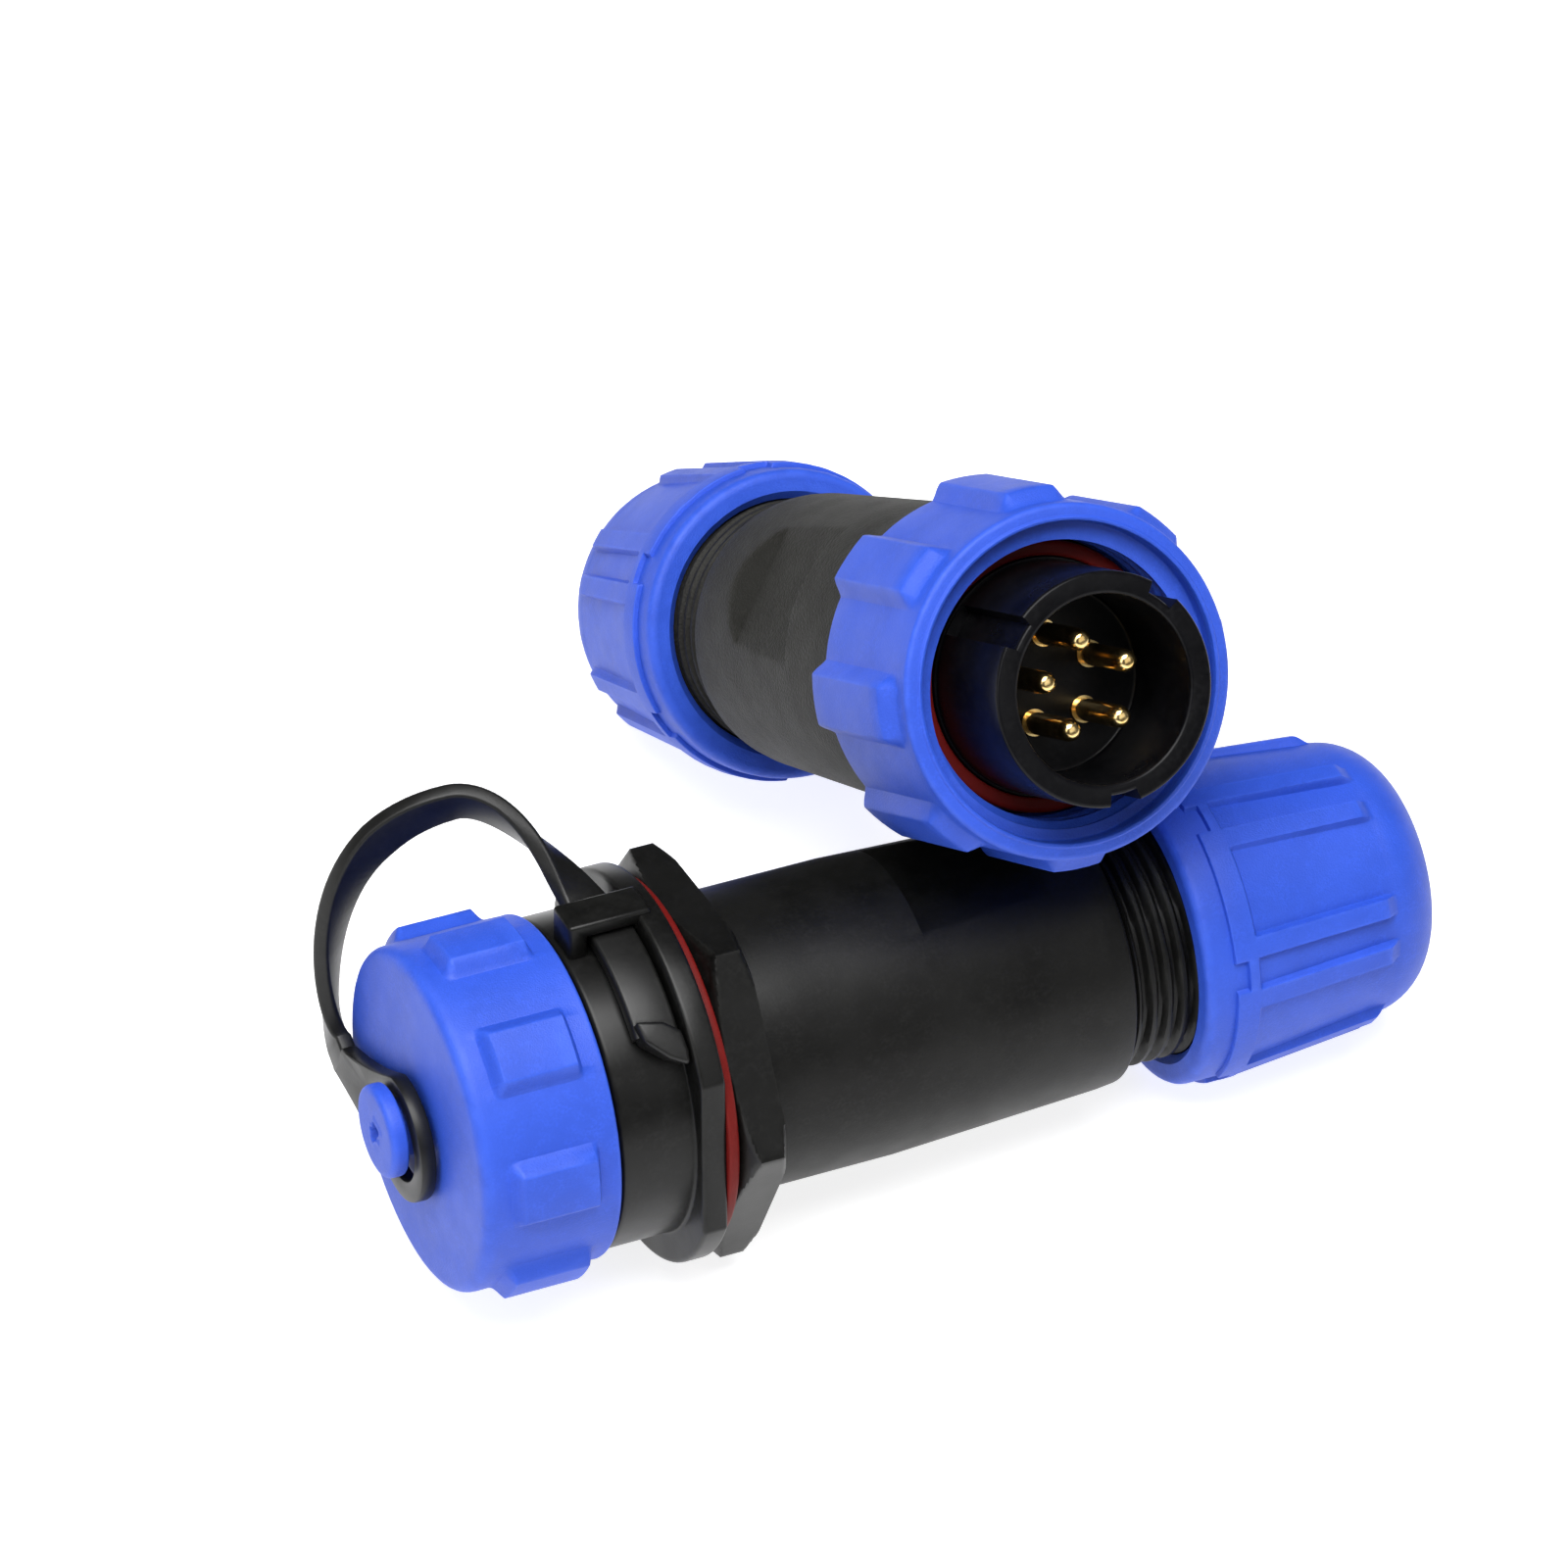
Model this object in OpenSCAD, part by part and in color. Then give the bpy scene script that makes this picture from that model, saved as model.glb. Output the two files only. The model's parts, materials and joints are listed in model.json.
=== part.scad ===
// Five-pole screw-coupled solar cable connector: a capped receptacle lying on its side,
// and the plug that mates with it leaning across the receptacle's back shell.
// Every turned piece is drawn along +Z, which points from the mating face to the cable.

/* [Contacts] */
// Number of contacts in each half
contact_count = 5; // [3:1:7]
// Radius of the circle that the contacts stand on
contact_circle_r = 4.1; // [3.9:0.1:4.6]
// Diameter of a male pin
pin_d = 2; // [1.2:0.1:2.4]
// Wall of a female socket contact round the pin
socket_wall = 0.5; // [0.4:0.1:0.8]
// Depth of the pin tips behind the shroud's rim
pin_recess = 2.6; // [1:0.2:4]

/* [Shroud] */
// Outer diameter of the keyed shroud of the plug
shroud_d = 20.4; // [19:0.1:21.5]
// Wall of the shroud
shroud_wall = 2; // [1.6:0.1:2.4]
// How far the shroud stands out of the coupling ring
shroud_out = 6.8; // [4:0.2:10]
// Angular width of each keyway in degrees
key_angle = 16; // [8:1:20]
// Depth of each keyway
key_depth = 1; // [0.6:0.1:1.2]

/* [Coupling] */
// Diameter over the lobes of the coupling ring and of the cap
lobe_d = 33.6; // [32:0.2:36]
// Diameter of the ring and the cap between the lobes
grip_d = 31; // [30:0.2:32]
// Number of grip lobes
lobe_count = 8; // [6:1:12]
// Angular width of a lobe's top in degrees
lobe_angle = 15; // [10:1:20]
// Length of the coupling ring
ring_length = 17; // [15:0.2:20]
// Diameter of the ring's open mouth
ring_mouth_d = 28; // [27:0.2:29]
// Outer diameter of the coupling thread
coupling_thread_d = 24.2; // [23.6:0.1:25]
// Pitch of the coupling thread
coupling_pitch = 2; // [1.5:0.25:2.5]

/* [Receptacle] */
// Length of the cap from its face to its open rim
cap_length = 12.8; // [11:0.2:15]
// Diameter of the smooth neck between cap and flange
neck_d = 29.8; // [29:0.2:31]
// Length of the neck
neck_length = 7.2; // [6:0.2:9]
// Diameter of the round flange
flange_d = 35.6; // [34:0.2:38]
// Thickness of the flange
flange_t = 2.3; // [2:0.1:4]
// Distance of the flange's two flats from the axis
flange_flat = 16.1; // [16:0.1:17]
// Thickness of the panel gasket
gasket_t = 1; // [0.6:0.1:2]
// Diameter of the panel thread
panel_thread_d = 24; // [22:0.2:24.4]
// Width of the panel nut across its flats
panel_nut_af = 32; // [30:0.5:34]
// Thickness of the panel nut
panel_nut_t = 4.1; // [3:0.1:6]

/* [Shells] */
// Largest diameter of a shell
shell_d = 26.9; // [26.5:0.1:28]
// Diameter of a shell at its cable end
shell_end_d = 24.8; // [24:0.1:25.4]
// Distance from the receptacle flange's front to the end of its back shell
back_shell_reach = 43.5; // [40:0.5:50]
// Distance from the coupling ring's front to the end of the plug's shell
plug_shell_reach = 52.4; // [50:0.2:60]
// Distance of a shell's wrench flats from the axis
wrench_flat = 11.6; // [11.4:0.1:12]
// Length of the wrench flats
wrench_length = 12; // [8:1:14]

/* [Cable clamp] */
// Diameter of the hole for the cable in the rubber seal
cable_d = 10; // [6:0.5:12]
// Outer diameter of the clamp thread
clamp_thread_d = 22.8; // [22.2:0.1:23.2]
// Pitch of the clamp thread
clamp_pitch = 1.5; // [1:0.25:2]
// Length of clamp thread that shows in front of the nut
clamp_thread_show = 6; // [3:0.2:8]
// Diameter of the clamp nut's front band
nut_collar_d = 29.3; // [28:0.1:31]
// Diameter of the clamp nut's body at its cable end
nut_end_d = 25; // [25:0.1:27]
// Length of the clamp nut
nut_length = 25.2; // [24:0.2:30]
// Number of rib pairs on the clamp nut
nut_rib_pairs = 6; // [5:1:8]
// Diameter of the cable hole in the clamp nut
nut_hole_d = 13; // [12.6:0.1:16]

/* [Strap] */
// Width of the strap
strap_w = 4; // [3:0.2:4.2]
// Thickness of the strap
strap_t = 1.5; // [1:0.1:1.6]
// Diameter of the mushroom stud's head on the cap
stud_head_d = 8.4; // [7:0.2:10]

/* [Plug placement] */
// Turn of the leaning plug about the vertical in degrees
plug_yaw = 94.8; // [85:0.2:100]
// Dip of the plug towards its cable end in degrees
plug_dip = 30.9; // [30:0.1:31.4]
// Where the plug lies along the receptacle
plug_along = 60; // [58:0.5:61]

/* [Clearances] */
// Radial gap between pieces that are assembled and stay still
seat_gap = 0.1; // [0.05:0.05:0.2]
// Radial gap between pieces that turn or slide on each other
run_gap = 0.1; // [0.1:0.05:0.2]
// End gap between pieces that turn or slide on each other
end_gap = 0.3; // [0.2:0.05:0.5]

/* [Hidden] */
$fn = 96;

// Radii of the driving diameters
shroud_r = shroud_d / 2;
shroud_bore_r = shroud_r - shroud_wall;
grip_r = grip_d / 2;
lobe_r = lobe_d / 2;
mouth_r = ring_mouth_d / 2;
coupling_r = coupling_thread_d / 2;
neck_r = neck_d / 2;
flange_r = flange_d / 2;
panel_thread_r = panel_thread_d / 2;
panel_corner_r = panel_nut_af / 2 / cos(30);
shell_r = shell_d / 2;
shell_end_r = shell_end_d / 2;
clamp_r = clamp_thread_d / 2;
collar_r = nut_collar_d / 2;
nut_end_r = nut_end_d / 2;
pin_r = pin_d / 2;
socket_r = pin_r + run_gap + socket_wall;
cable_r = cable_d / 2;

// Threads
coupling_depth = 0.7;
clamp_depth = 0.65;
panel_depth = 0.6;
panel_pitch = 1.5;

// Receptacle stations along its axis, counted from the cap's face
cap_wall = 2;
cap_gasket_t = 1.1;
barrel_front = cap_wall + cap_gasket_t;
neck_front = cap_length + end_gap;
flange_front = neck_front + neck_length - end_gap;
flange_rear = flange_front + flange_t;
panel_nut_front = flange_rear + gasket_t;
panel_nut_rear = panel_nut_front + panel_nut_t;
back_shell_front = panel_nut_rear + end_gap;
back_shell_rear = flange_front + back_shell_reach;
recep_nut_front = back_shell_rear + clamp_thread_show;
insert_bore_r = shroud_r + 0.25;
cavity_floor = barrel_front + 13.6;
insert_rear = cavity_floor + 13;
retainer_t = 3;
recep_shell_rear = insert_rear + retainer_t + 4;
socket_front = barrel_front + 3;
socket_length = 27;

// Plug stations along its axis, counted from the coupling ring's front
ring_mouth_depth = 1.6;
ring_thread_end = 9;
face_gasket_front = 6;
face_gasket_t = 1.6;
plug_seat = face_gasket_front + face_gasket_t;
clip_front = 10.8;
clip_t = 1;
ring_web_front = clip_front + clip_t + end_gap;
plug_shoulder = ring_length + end_gap;
plug_body_r = coupling_r - 0.2;
ring_web_r = plug_body_r + run_gap;
carrier_front = 4;
carrier_rear = 22;
shroud_step = face_gasket_front - 0.6;
insert_body_r = shroud_r + 0.2;
pin_shoulder = carrier_front - 0.4;
pin_shank_r = pin_r + 0.2;
pin_front = pin_recess - shroud_out;
pin_length = 33;
plug_nut_front = plug_shell_reach + clamp_thread_show;

// Cable clamp stations, counted from the front of the clamp nut
clamp_thread_end = 9.2;
seal_front = -0.8;
collet_front = clamp_thread_end + 0.2;
collet_length = 10.4;
washer_front = collet_front + collet_length + 0.1;
washer_t = 1;
nut_floor = washer_front + washer_t;
clamp_bore_r = clamp_r - 2;
nut_thread_r = clamp_r + run_gap;
collet_r = clamp_bore_r - seat_gap;
nut_bore_r = collet_r + 0.5;
nut_hole_r = nut_hole_d / 2;
nut_dome = 5.8;
nut_band_front = 2.7;
nut_band_rear = 4.9;
nut_rib_end = nut_length - nut_dome + 0.4;

// Roll angles about each axis: 0 points down, 90 to the far side, 180 up
cap_roll = 34;
ring_roll = 8.6;
hex_roll = 23;
flange_flat_roll = 83;
key_roll = 184.8;
key_spread = 46.5;
recep_key_roll = 180;
bridge_roll = 176.5;
recep_nut_roll = 12;
plug_nut_roll = 8;
plug_flat_roll = 133.5;
back_flat_roll = 177;

// Placement: the receptacle rests on the rim of its flange and on its clamp nut's band
band_rest_s = recep_nut_front + nut_band_rear;
recep_dip = atan((flange_r - collar_r) / (band_rest_s - flange_rear));
recep_axis_z = flange_r * cos(recep_dip) + flange_rear * sin(recep_dip);
plug_front_y = -5.4;
plug_rest_t = plug_nut_front + nut_length - nut_dome;
plug_front_z = plug_rest_t * sin(plug_dip) + (nut_end_r - nut_dome) * cos(plug_dip) + nut_dome;
// The origin is on the resting surface below the middle of the pair
pair_centre_x = 45.41;
pair_centre_y = 26.09;

blue = [0.16, 0.31, 0.85];
black = [0.07, 0.07, 0.07];
dark_grey = [0.17, 0.17, 0.17];
gold = [0.83, 0.62, 0.25];
red = [0.62, 0.08, 0.05];
rubber_grey = [0.25, 0.25, 0.25];
white = [0.85, 0.85, 0.82];

// ---------- placement ----------

module in_row() translate([-pair_centre_x, -pair_centre_y, 0]) children();

module at_recep(s = 0)
    in_row() translate([0, 0, recep_axis_z]) rotate([0, recep_dip, 0])
        translate([s, 0, 0]) rotate([0, 90, 0]) children();

module at_plug(t = 0)
    in_row() translate([plug_along, plug_front_y, plug_front_z])
        rotate([0, 90 + plug_dip, plug_yaw]) translate([0, 0, t]) children();

// ---------- shared shapes ----------

// A tube along +Z between two stations
module tube(r_out, r_in, z0, z1)
    translate([0, 0, z0]) rotate_extrude()
        polygon([[r_in, 0], [r_out, 0], [r_out, z1 - z0], [r_in, z1 - z0]]);

// Profile of thread ridges, as points from station z0 to station z1
function ridges(crest, root, pitch, z0, z1) =
    [for (i = [0:floor((z1 - z0) / pitch) - 1], k = [0:3])
        [k == 0 || k == 3 ? root : crest, z0 + pitch * (i + [0.12, 0.4, 0.6, 0.88][k])]];

// A tube with thread ridges on its outside
module ridged_tube(crest, depth, pitch, r_in, z0, z1)
    rotate_extrude() polygon(concat([[r_in, z0], [crest - depth, z0]],
        ridges(crest, crest - depth, pitch, z0, z1), [[crest - depth, z1], [r_in, z1]]));

// Trapezoid pads that stand round a grip
module pads(count, roll, half_top, r_low, r_high, z0, z1, spread = 1.45)
    for (i = [0:count - 1]) rotate([0, 0, roll + i * 360 / count])
        translate([0, 0, z0]) linear_extrude(z1 - z0)
            polygon([[r_low, -r_low * tan(half_top) * spread], [r_high, -r_high * tan(half_top)],
                     [r_high, r_high * tan(half_top)], [r_low, r_low * tan(half_top) * spread]]);

// The lobes of a ring or cap: pads trimmed to a turned envelope with a sloped front
module lobes(roll, z0, z1, front_slope, rear_slope)
    intersection() {
        rotate_extrude() polygon([[grip_r - 1, z0 - 0.4], [grip_r - 0.1, z0 - 0.4],
            [lobe_r, z0 + front_slope], [lobe_r, z1 - rear_slope],
            [lobe_r - 0.5, z1], [grip_r - 1, z1]]);
        pads(lobe_count, roll, lobe_angle / 2, grip_r - 1, lobe_r + 1, z0 - 1, z1 + 1);
    }

// A ring of round section
module torus(r_mid, r_section, z)
    translate([0, 0, z]) rotate_extrude() translate([r_mid, 0]) circle(r = r_section, $fn = 32);

// Places its children on every contact position
module contact_spot(i, roll) rotate([0, 0, roll + (i - 1) * 360 / contact_count])
    translate([contact_circle_r, 0, 0]) children();

// Wedges for the three keys or keyways
module key_wedges(roll, r_in, r_out, z0, z1, width)
    for (a = [roll - key_spread, roll + key_spread, roll + 180]) rotate([0, 0, a])
        translate([0, 0, z0]) linear_extrude(z1 - z0)
            polygon([[r_in, -r_in * tan(width / 2)], [r_out, -r_out * tan(width / 2)],
                     [r_out, r_out * tan(width / 2)], [r_in, r_in * tan(width / 2)]]);

// ---------- cable clamp, drawn from the front of its nut ----------

module cable_seal()
    color(rubber_grey) rotate_extrude()
        polygon([[cable_r, seal_front], [collet_r - 0.4, seal_front], [collet_r, seal_front + 0.8],
                 [collet_r, clamp_thread_end], [cable_r, clamp_thread_end]]);

module clamp_collet() {
    fingers = 8;
    slot_w = 1;
    collet_bore_r = cable_r + 0.7;
    color(dark_grey) difference() {
        rotate_extrude() polygon([[collet_bore_r, collet_front], [collet_r, collet_front],
            [collet_r, collet_front + 6], [collet_r - 0.8, collet_front + collet_length],
            [collet_bore_r, collet_front + collet_length]]);
        for (i = [0:fingers / 2 - 1]) rotate([0, 0, i * 360 / fingers])
            translate([-collet_r - 1, -slot_w / 2, collet_front - 1])
                cube([2 * collet_r + 2, slot_w, collet_length - 1.5]);
    }
}

module thrust_washer()
    color(white) tube(collet_r, nut_hole_r + 0.2, washer_front, nut_floor - 0.05);

module clamp_nut(roll) {
    rim_r = collar_r - 0.45;
    body_r = collar_r - 0.6;
    rib_angle = 9.5;
    rib_offset = 9.8;
    color(blue) difference() {
        union() {
            rotate_extrude() polygon(concat(
                [[nut_hole_r, nut_length], [nut_hole_r, nut_floor - 1], [nut_thread_r - 1, 0],
                 [rim_r - 0.5, 0], [rim_r, 0.5], [rim_r, nut_band_front], [collar_r, nut_band_front + 0.1],
                 [collar_r, nut_band_rear], [body_r, nut_band_rear + 0.35]],
                [for (a = [0:10:90]) [nut_end_r - nut_dome + nut_dome * cos(a),
                    nut_length - nut_dome + nut_dome * sin(a)]]));
            intersection() {
                rotate_extrude() polygon([[nut_end_r - 2, nut_band_rear - 0.2],
                    [collar_r - 0.05, nut_band_rear - 0.2], [nut_end_r + 0.85, nut_rib_end - 0.7],
                    [nut_end_r - 0.3, nut_rib_end + 0.7], [nut_end_r - 2, nut_rib_end]]);
                union() {
                    for (side = [-1, 1])
                        pads(nut_rib_pairs, roll + side * rib_offset, rib_angle / 2, nut_end_r - 2,
                            collar_r, 1, nut_length, 1.1);
                }
            }
        }
        translate([0, 0, -1]) cylinder(r = nut_thread_r, h = 13.4 + 1);
        translate([0, 0, 13.3]) cylinder(r = nut_bore_r, h = nut_floor - 13.3);
        translate([0, 0, nut_floor - 1]) cylinder(r = nut_hole_r, h = nut_length);
    }
}

// ---------- receptacle ----------

module recep_shell() {
    tail_window = 4.8;
    bar_t = 1.4;
    bar_w = 3.8;
    bridge_front = neck_front + 0.5;
    under_bar_r = strap_seat_r + strap_t / 2 + 0.2;
    at_recep() color(black) {
        ridged_tube(coupling_r, coupling_depth, coupling_pitch, insert_bore_r,
            barrel_front, neck_front + 0.1);
        tube(neck_r, insert_bore_r, neck_front, flange_front + 0.1);
        intersection() {
            tube(flange_r, insert_bore_r, flange_front, flange_rear);
            rotate([0, 0, flange_flat_roll]) translate([0, 0, (flange_front + flange_rear) / 2])
                cube([2 * flange_flat, 3 * flange_r, 2 * flange_t], center = true);
        }
        ridged_tube(panel_thread_r, panel_depth, panel_pitch, insert_bore_r,
            flange_rear - 0.1, recep_shell_rear);
        intersection() {
            tube(insert_bore_r + 0.1, shroud_r - key_depth + 0.3, barrel_front + 0.5, cavity_floor);
            key_wedges(recep_key_roll, shroud_r - 2, insert_bore_r + 1, barrel_front,
                cavity_floor, key_angle - 3);
        }
        rotate([0, 0, bridge_roll]) {
            translate([under_bar_r, -bar_w / 2, bridge_front])
                cube([bar_t, bar_w, flange_front - bridge_front]);
            translate([neck_r - 0.5, -bar_w / 2, bridge_front])
                cube([under_bar_r - neck_r + 1, bar_w, flange_front - bridge_front - tail_window]);
            translate([under_bar_r, -bar_w / 2, flange_front - 0.1])
                cube([bar_t, bar_w, flange_t * 0.6]);
        }
    }
}

module recep_flange_gasket()
    at_recep() color(red) tube(flange_r - 0.7, panel_thread_r + seat_gap, flange_rear, panel_nut_front);

module recep_panel_nut() {
    chamfer = 1;
    eased_r = panel_corner_r - 0.15;
    at_recep(panel_nut_front) color(black) difference() {
        intersection() {
            rotate([0, 0, hex_roll]) cylinder(r = panel_corner_r, h = panel_nut_t, $fn = 6);
            rotate_extrude() polygon([[0, 0], [panel_nut_af / 2 + 0.3, 0], [eased_r, chamfer],
                [eased_r, panel_nut_t - 0.7], [eased_r - 0.9, panel_nut_t],
                [0, panel_nut_t]]);
        }
        translate([0, 0, -1]) cylinder(r = panel_thread_r + run_gap, h = panel_nut_t + 2);
    }
}

module recep_insert() {
    nose_r = shroud_bore_r - 0.25;
    groove_z = cavity_floor + 6;
    at_recep() color(dark_grey) difference() {
        rotate_extrude() polygon([[0, barrel_front + 2], [nose_r - 0.5, barrel_front + 2],
            [nose_r, barrel_front + 2.5], [nose_r, cavity_floor], [insert_bore_r - seat_gap, cavity_floor],
            [insert_bore_r - seat_gap, groove_z - 0.9], [insert_bore_r - 1.1, groove_z - 0.9],
            [insert_bore_r - 1.1, groove_z + 0.9], [insert_bore_r - seat_gap, groove_z + 0.9],
            [insert_bore_r - seat_gap, insert_rear], [0, insert_rear]]);
        for (i = [1:contact_count]) contact_spot(i, recep_key_roll) {
            translate([0, 0, socket_front - 0.1]) cylinder(r = socket_r + seat_gap, h = socket_length + 2);
            translate([0, 0, barrel_front]) cylinder(r = pin_r + 0.2, h = 5);
        }
    }
}

module recep_socket(i) {
    bore_depth = 9;
    cup_depth = 5;
    at_recep(socket_front) color(gold) contact_spot(i, recep_key_roll) difference() {
        cylinder(r = socket_r, h = socket_length, $fn = 48);
        translate([0, 0, -1]) cylinder(r = pin_r + run_gap / 2, h = bore_depth + 1, $fn = 48);
        translate([0, 0, socket_length - cup_depth]) cylinder(r = pin_r, h = cup_depth + 1, $fn = 48);
        translate([-socket_r - 1, -0.15, -1]) cube([2 * socket_r + 2, 0.3, bore_depth * 0.7]);
    }
}

module recep_insert_o_ring()
    at_recep() color(red) torus(insert_bore_r - 0.6, 0.48, cavity_floor + 6);

// The slotted ring that locks an insert, drawn from its own front
module contact_retainer(r_out, t)
    color(black) difference() {
        tube(r_out, contact_circle_r + socket_r + 0.8, 0, t);
        for (a = [0, 90]) rotate([0, 0, a]) translate([-r_out - 1, -1, t - 1.2])
            cube([2 * r_out + 2, 2, 2]);
    }

module recep_contact_retainer()
    at_recep(insert_rear) contact_retainer(insert_bore_r - seat_gap, retainer_t);

// Two opposite wrench flats with a ramp at their cable end, cut from a shell
module wrench_flats(roll, z0)
    for (side = [0, 180]) rotate([0, 0, roll + side]) translate([0, 0, z0])
        rotate([90, 0, 0]) translate([0, 0, -shell_r]) linear_extrude(2 * shell_r)
            polygon([[wrench_flat, 0], [wrench_flat, wrench_length],
                     [shell_r + 1, wrench_length + 7.5], [shell_r + 1, 0]]);

module recep_back_shell() {
    taper_start = back_shell_rear - 22;
    front_bore_r = panel_thread_r + seat_gap;
    front_bore_end = recep_shell_rear + 1.6;
    shell_end = recep_nut_front + clamp_thread_end;
    at_recep() color(black) difference() {
        union() {
            rotate_extrude() polygon([[clamp_bore_r, back_shell_front], [shell_r - 0.4, back_shell_front],
                [shell_r, back_shell_front + 0.4], [shell_r, taper_start],
                [shell_end_r + 0.2, back_shell_rear - 2], [shell_end_r, back_shell_rear],
                [clamp_bore_r, back_shell_rear]]);
            ridged_tube(clamp_r, clamp_depth, clamp_pitch, clamp_bore_r, back_shell_rear - 0.1, shell_end);
        }
        translate([0, 0, back_shell_front - 1])
            cylinder(r = front_bore_r, h = front_bore_end - back_shell_front + 1);
        wrench_flats(back_flat_roll, back_shell_rear - 18.5);
        translate([0, 0, back_shell_front]) cylinder(r = clamp_bore_r, h = shell_end);
    }
}

module recep_back_shell_o_ring()
    at_recep() color(red) torus(panel_thread_r - 0.9, 0.7, recep_shell_rear + 0.8);

module recep_cable_seal() at_recep(recep_nut_front) cable_seal();

module recep_clamp_collet() at_recep(recep_nut_front) clamp_collet();

module recep_thrust_washer() at_recep(recep_nut_front) thrust_washer();

module recep_clamp_nut() at_recep(recep_nut_front) clamp_nut(recep_nut_roll);

stud_head_t = 1.6;
stud_stem_r = 2.6;
stud_stem_l = 2.3;

module cap() {
    rim = 1.2;
    at_recep() color(blue) {
        difference() {
            union() {
                rotate_extrude() polygon(concat([[0, 0]],
                    [for (a = [-90:15:0]) [grip_r - rim + rim * cos(a), rim + rim * sin(a)]],
                    [[grip_r, cap_length - 0.4], [grip_r - 0.4, cap_length], [0, cap_length]]));
                lobes(cap_roll, 2.2, cap_length - 2, 1, 0.4);
            }
            translate([0, 0, cap_wall]) cylinder(r = coupling_r + run_gap, h = cap_length);
            translate([0, 0, cap_length - 0.8]) cylinder(r = coupling_r + 0.6, h = 1);
        }
        translate([0, 0, -stud_stem_l - 0.1]) cylinder(r = stud_stem_r, h = stud_stem_l + 0.3);
        rotate_extrude() polygon([[0, -stud_stem_l - stud_head_t], [0.6, -stud_stem_l - stud_head_t + 0.5],
            [1.1, -stud_stem_l - stud_head_t], [stud_head_d / 2 - 0.6, -stud_stem_l - stud_head_t],
            [stud_head_d / 2, -stud_stem_l - stud_head_t + 0.6], [stud_head_d / 2, -stud_stem_l],
            [0, -stud_stem_l]]);
    }
}

module cap_gasket()
    at_recep() color(red) tube(coupling_r - 0.2, insert_bore_r, cap_wall, barrel_front);

// ---------- strap ----------
// Its points are (along the axis, towards the near side, up), from the middle of the cap's face

eye_front = -1.9;
eye_drop = 1.2;
eye_ring_r = 5.9;
eye_hole_r = stud_stem_r + 1.3;
eye_reach = 14.6;
eye_lean = 27;
eye_neck = [eye_front + strap_t / 2, -eye_reach, -2.5];
strap_top = [9.3, -15.7, 21];
bridge_angle = 270 - bridge_roll;
strap_seat_r = neck_r + 0.15 + strap_t / 2;
strap_seat_s = flange_front - 0.2 - strap_w / 2;
entry_angle = bridge_angle + 12;
bridge_entry = [strap_seat_s, strap_seat_r * cos(entry_angle), strap_seat_r * sin(entry_angle)];
bridge_approach = bridge_entry - 3.4 * [0, sin(entry_angle), -cos(entry_angle)];
rise = [eye_neck, eye_neck + 4.4 * [0, -cos(eye_lean), sin(eye_lean)], [-3.4, -18.3, 18.7], strap_top];
fall = [strap_top, [14.5, -14.6, 21.9], bridge_approach, bridge_entry];

function bezier(c, u) = pow(1 - u, 3) * c[0] + 3 * pow(1 - u, 2) * u * c[1]
    + 3 * (1 - u) * u * u * c[2] + pow(u, 3) * c[3];
function slope(c, u) = pow(1 - u, 2) * (c[1] - c[0]) + 2 * (1 - u) * u * (c[2] - c[1])
    + u * u * (c[3] - c[2]);
function unit(v) = v / norm(v);
function route(u) = u < 0.5 ? bezier(rise, 2 * u) : bezier(fall, 2 * u - 1);
function heading(u) = unit(u < 0.5 ? slope(rise, 2 * u) : slope(fall, 2 * u - 1));
// Outward face of the ribbon: forward at the eye, away at the side, up at the bridge
function outward(u) = let (w = u < 0.4 ? [-cos(90 * u / 0.4), -sin(90 * u / 0.4), 0]
        : let (k = (u - 0.4) / 0.6) [0.25 * sin(180 * k), -cos(90 * k), sin(90 * k)],
        t = heading(u)) unit(w - (w * t) * t);
function corner(u, side, lift) = let (n = outward(u), w = cross(heading(u), n))
    route(u) + side * strap_w / 2 * w + lift * strap_t / 2 * n;

// Turns (along, near, up) into the turned pieces' frame
function turned(p) = [-p[2], -p[1], p[0]];

module strap_eye() {
    slot_r = 2.2;
    neck_x = turned(eye_neck)[0];
    outline = concat([for (a = [165:7.5:375]) [eye_drop + eye_ring_r * cos(a), eye_ring_r * sin(a)]],
        [for (side = [1, -1]) [neck_x + side * strap_w / 2 * cos(eye_lean),
            eye_reach + side * strap_w / 2 * sin(eye_lean)]]);
    at_recep(eye_front) color(black) difference() {
        linear_extrude(strap_t) polygon(outline);
        translate([eye_drop, 0, -1]) cylinder(r = eye_hole_r, h = strap_t + 2);
        translate([eye_drop - slot_r, 0, -1]) cube([2 * slot_r, eye_hole_r + 1.6, strap_t + 2]);
    }
}

module strap_ribbon() {
    rings = 40;
    corners = [[1, 1], [-1, 1], [-1, -1], [1, -1]];
    points = [for (i = [0:rings], c = corners)
        turned(corner(0.004 + 0.992 * i / rings, c[0], c[1]))];
    sides = [for (i = [0:rings - 1], k = [0:3], half = [0, 1])
        let (a = 4 * i + k, b = 4 * i + (k + 1) % 4) half == 0 ? [a, b, b + 4] : [a, b + 4, a + 4]];
    last = 4 * rings;
    caps = [[2, 1, 0], [3, 2, 0], [last, last + 1, last + 2], [last, last + 2, last + 3]];
    at_recep() color(black) polyhedron(points, concat(sides, caps));
}

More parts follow.
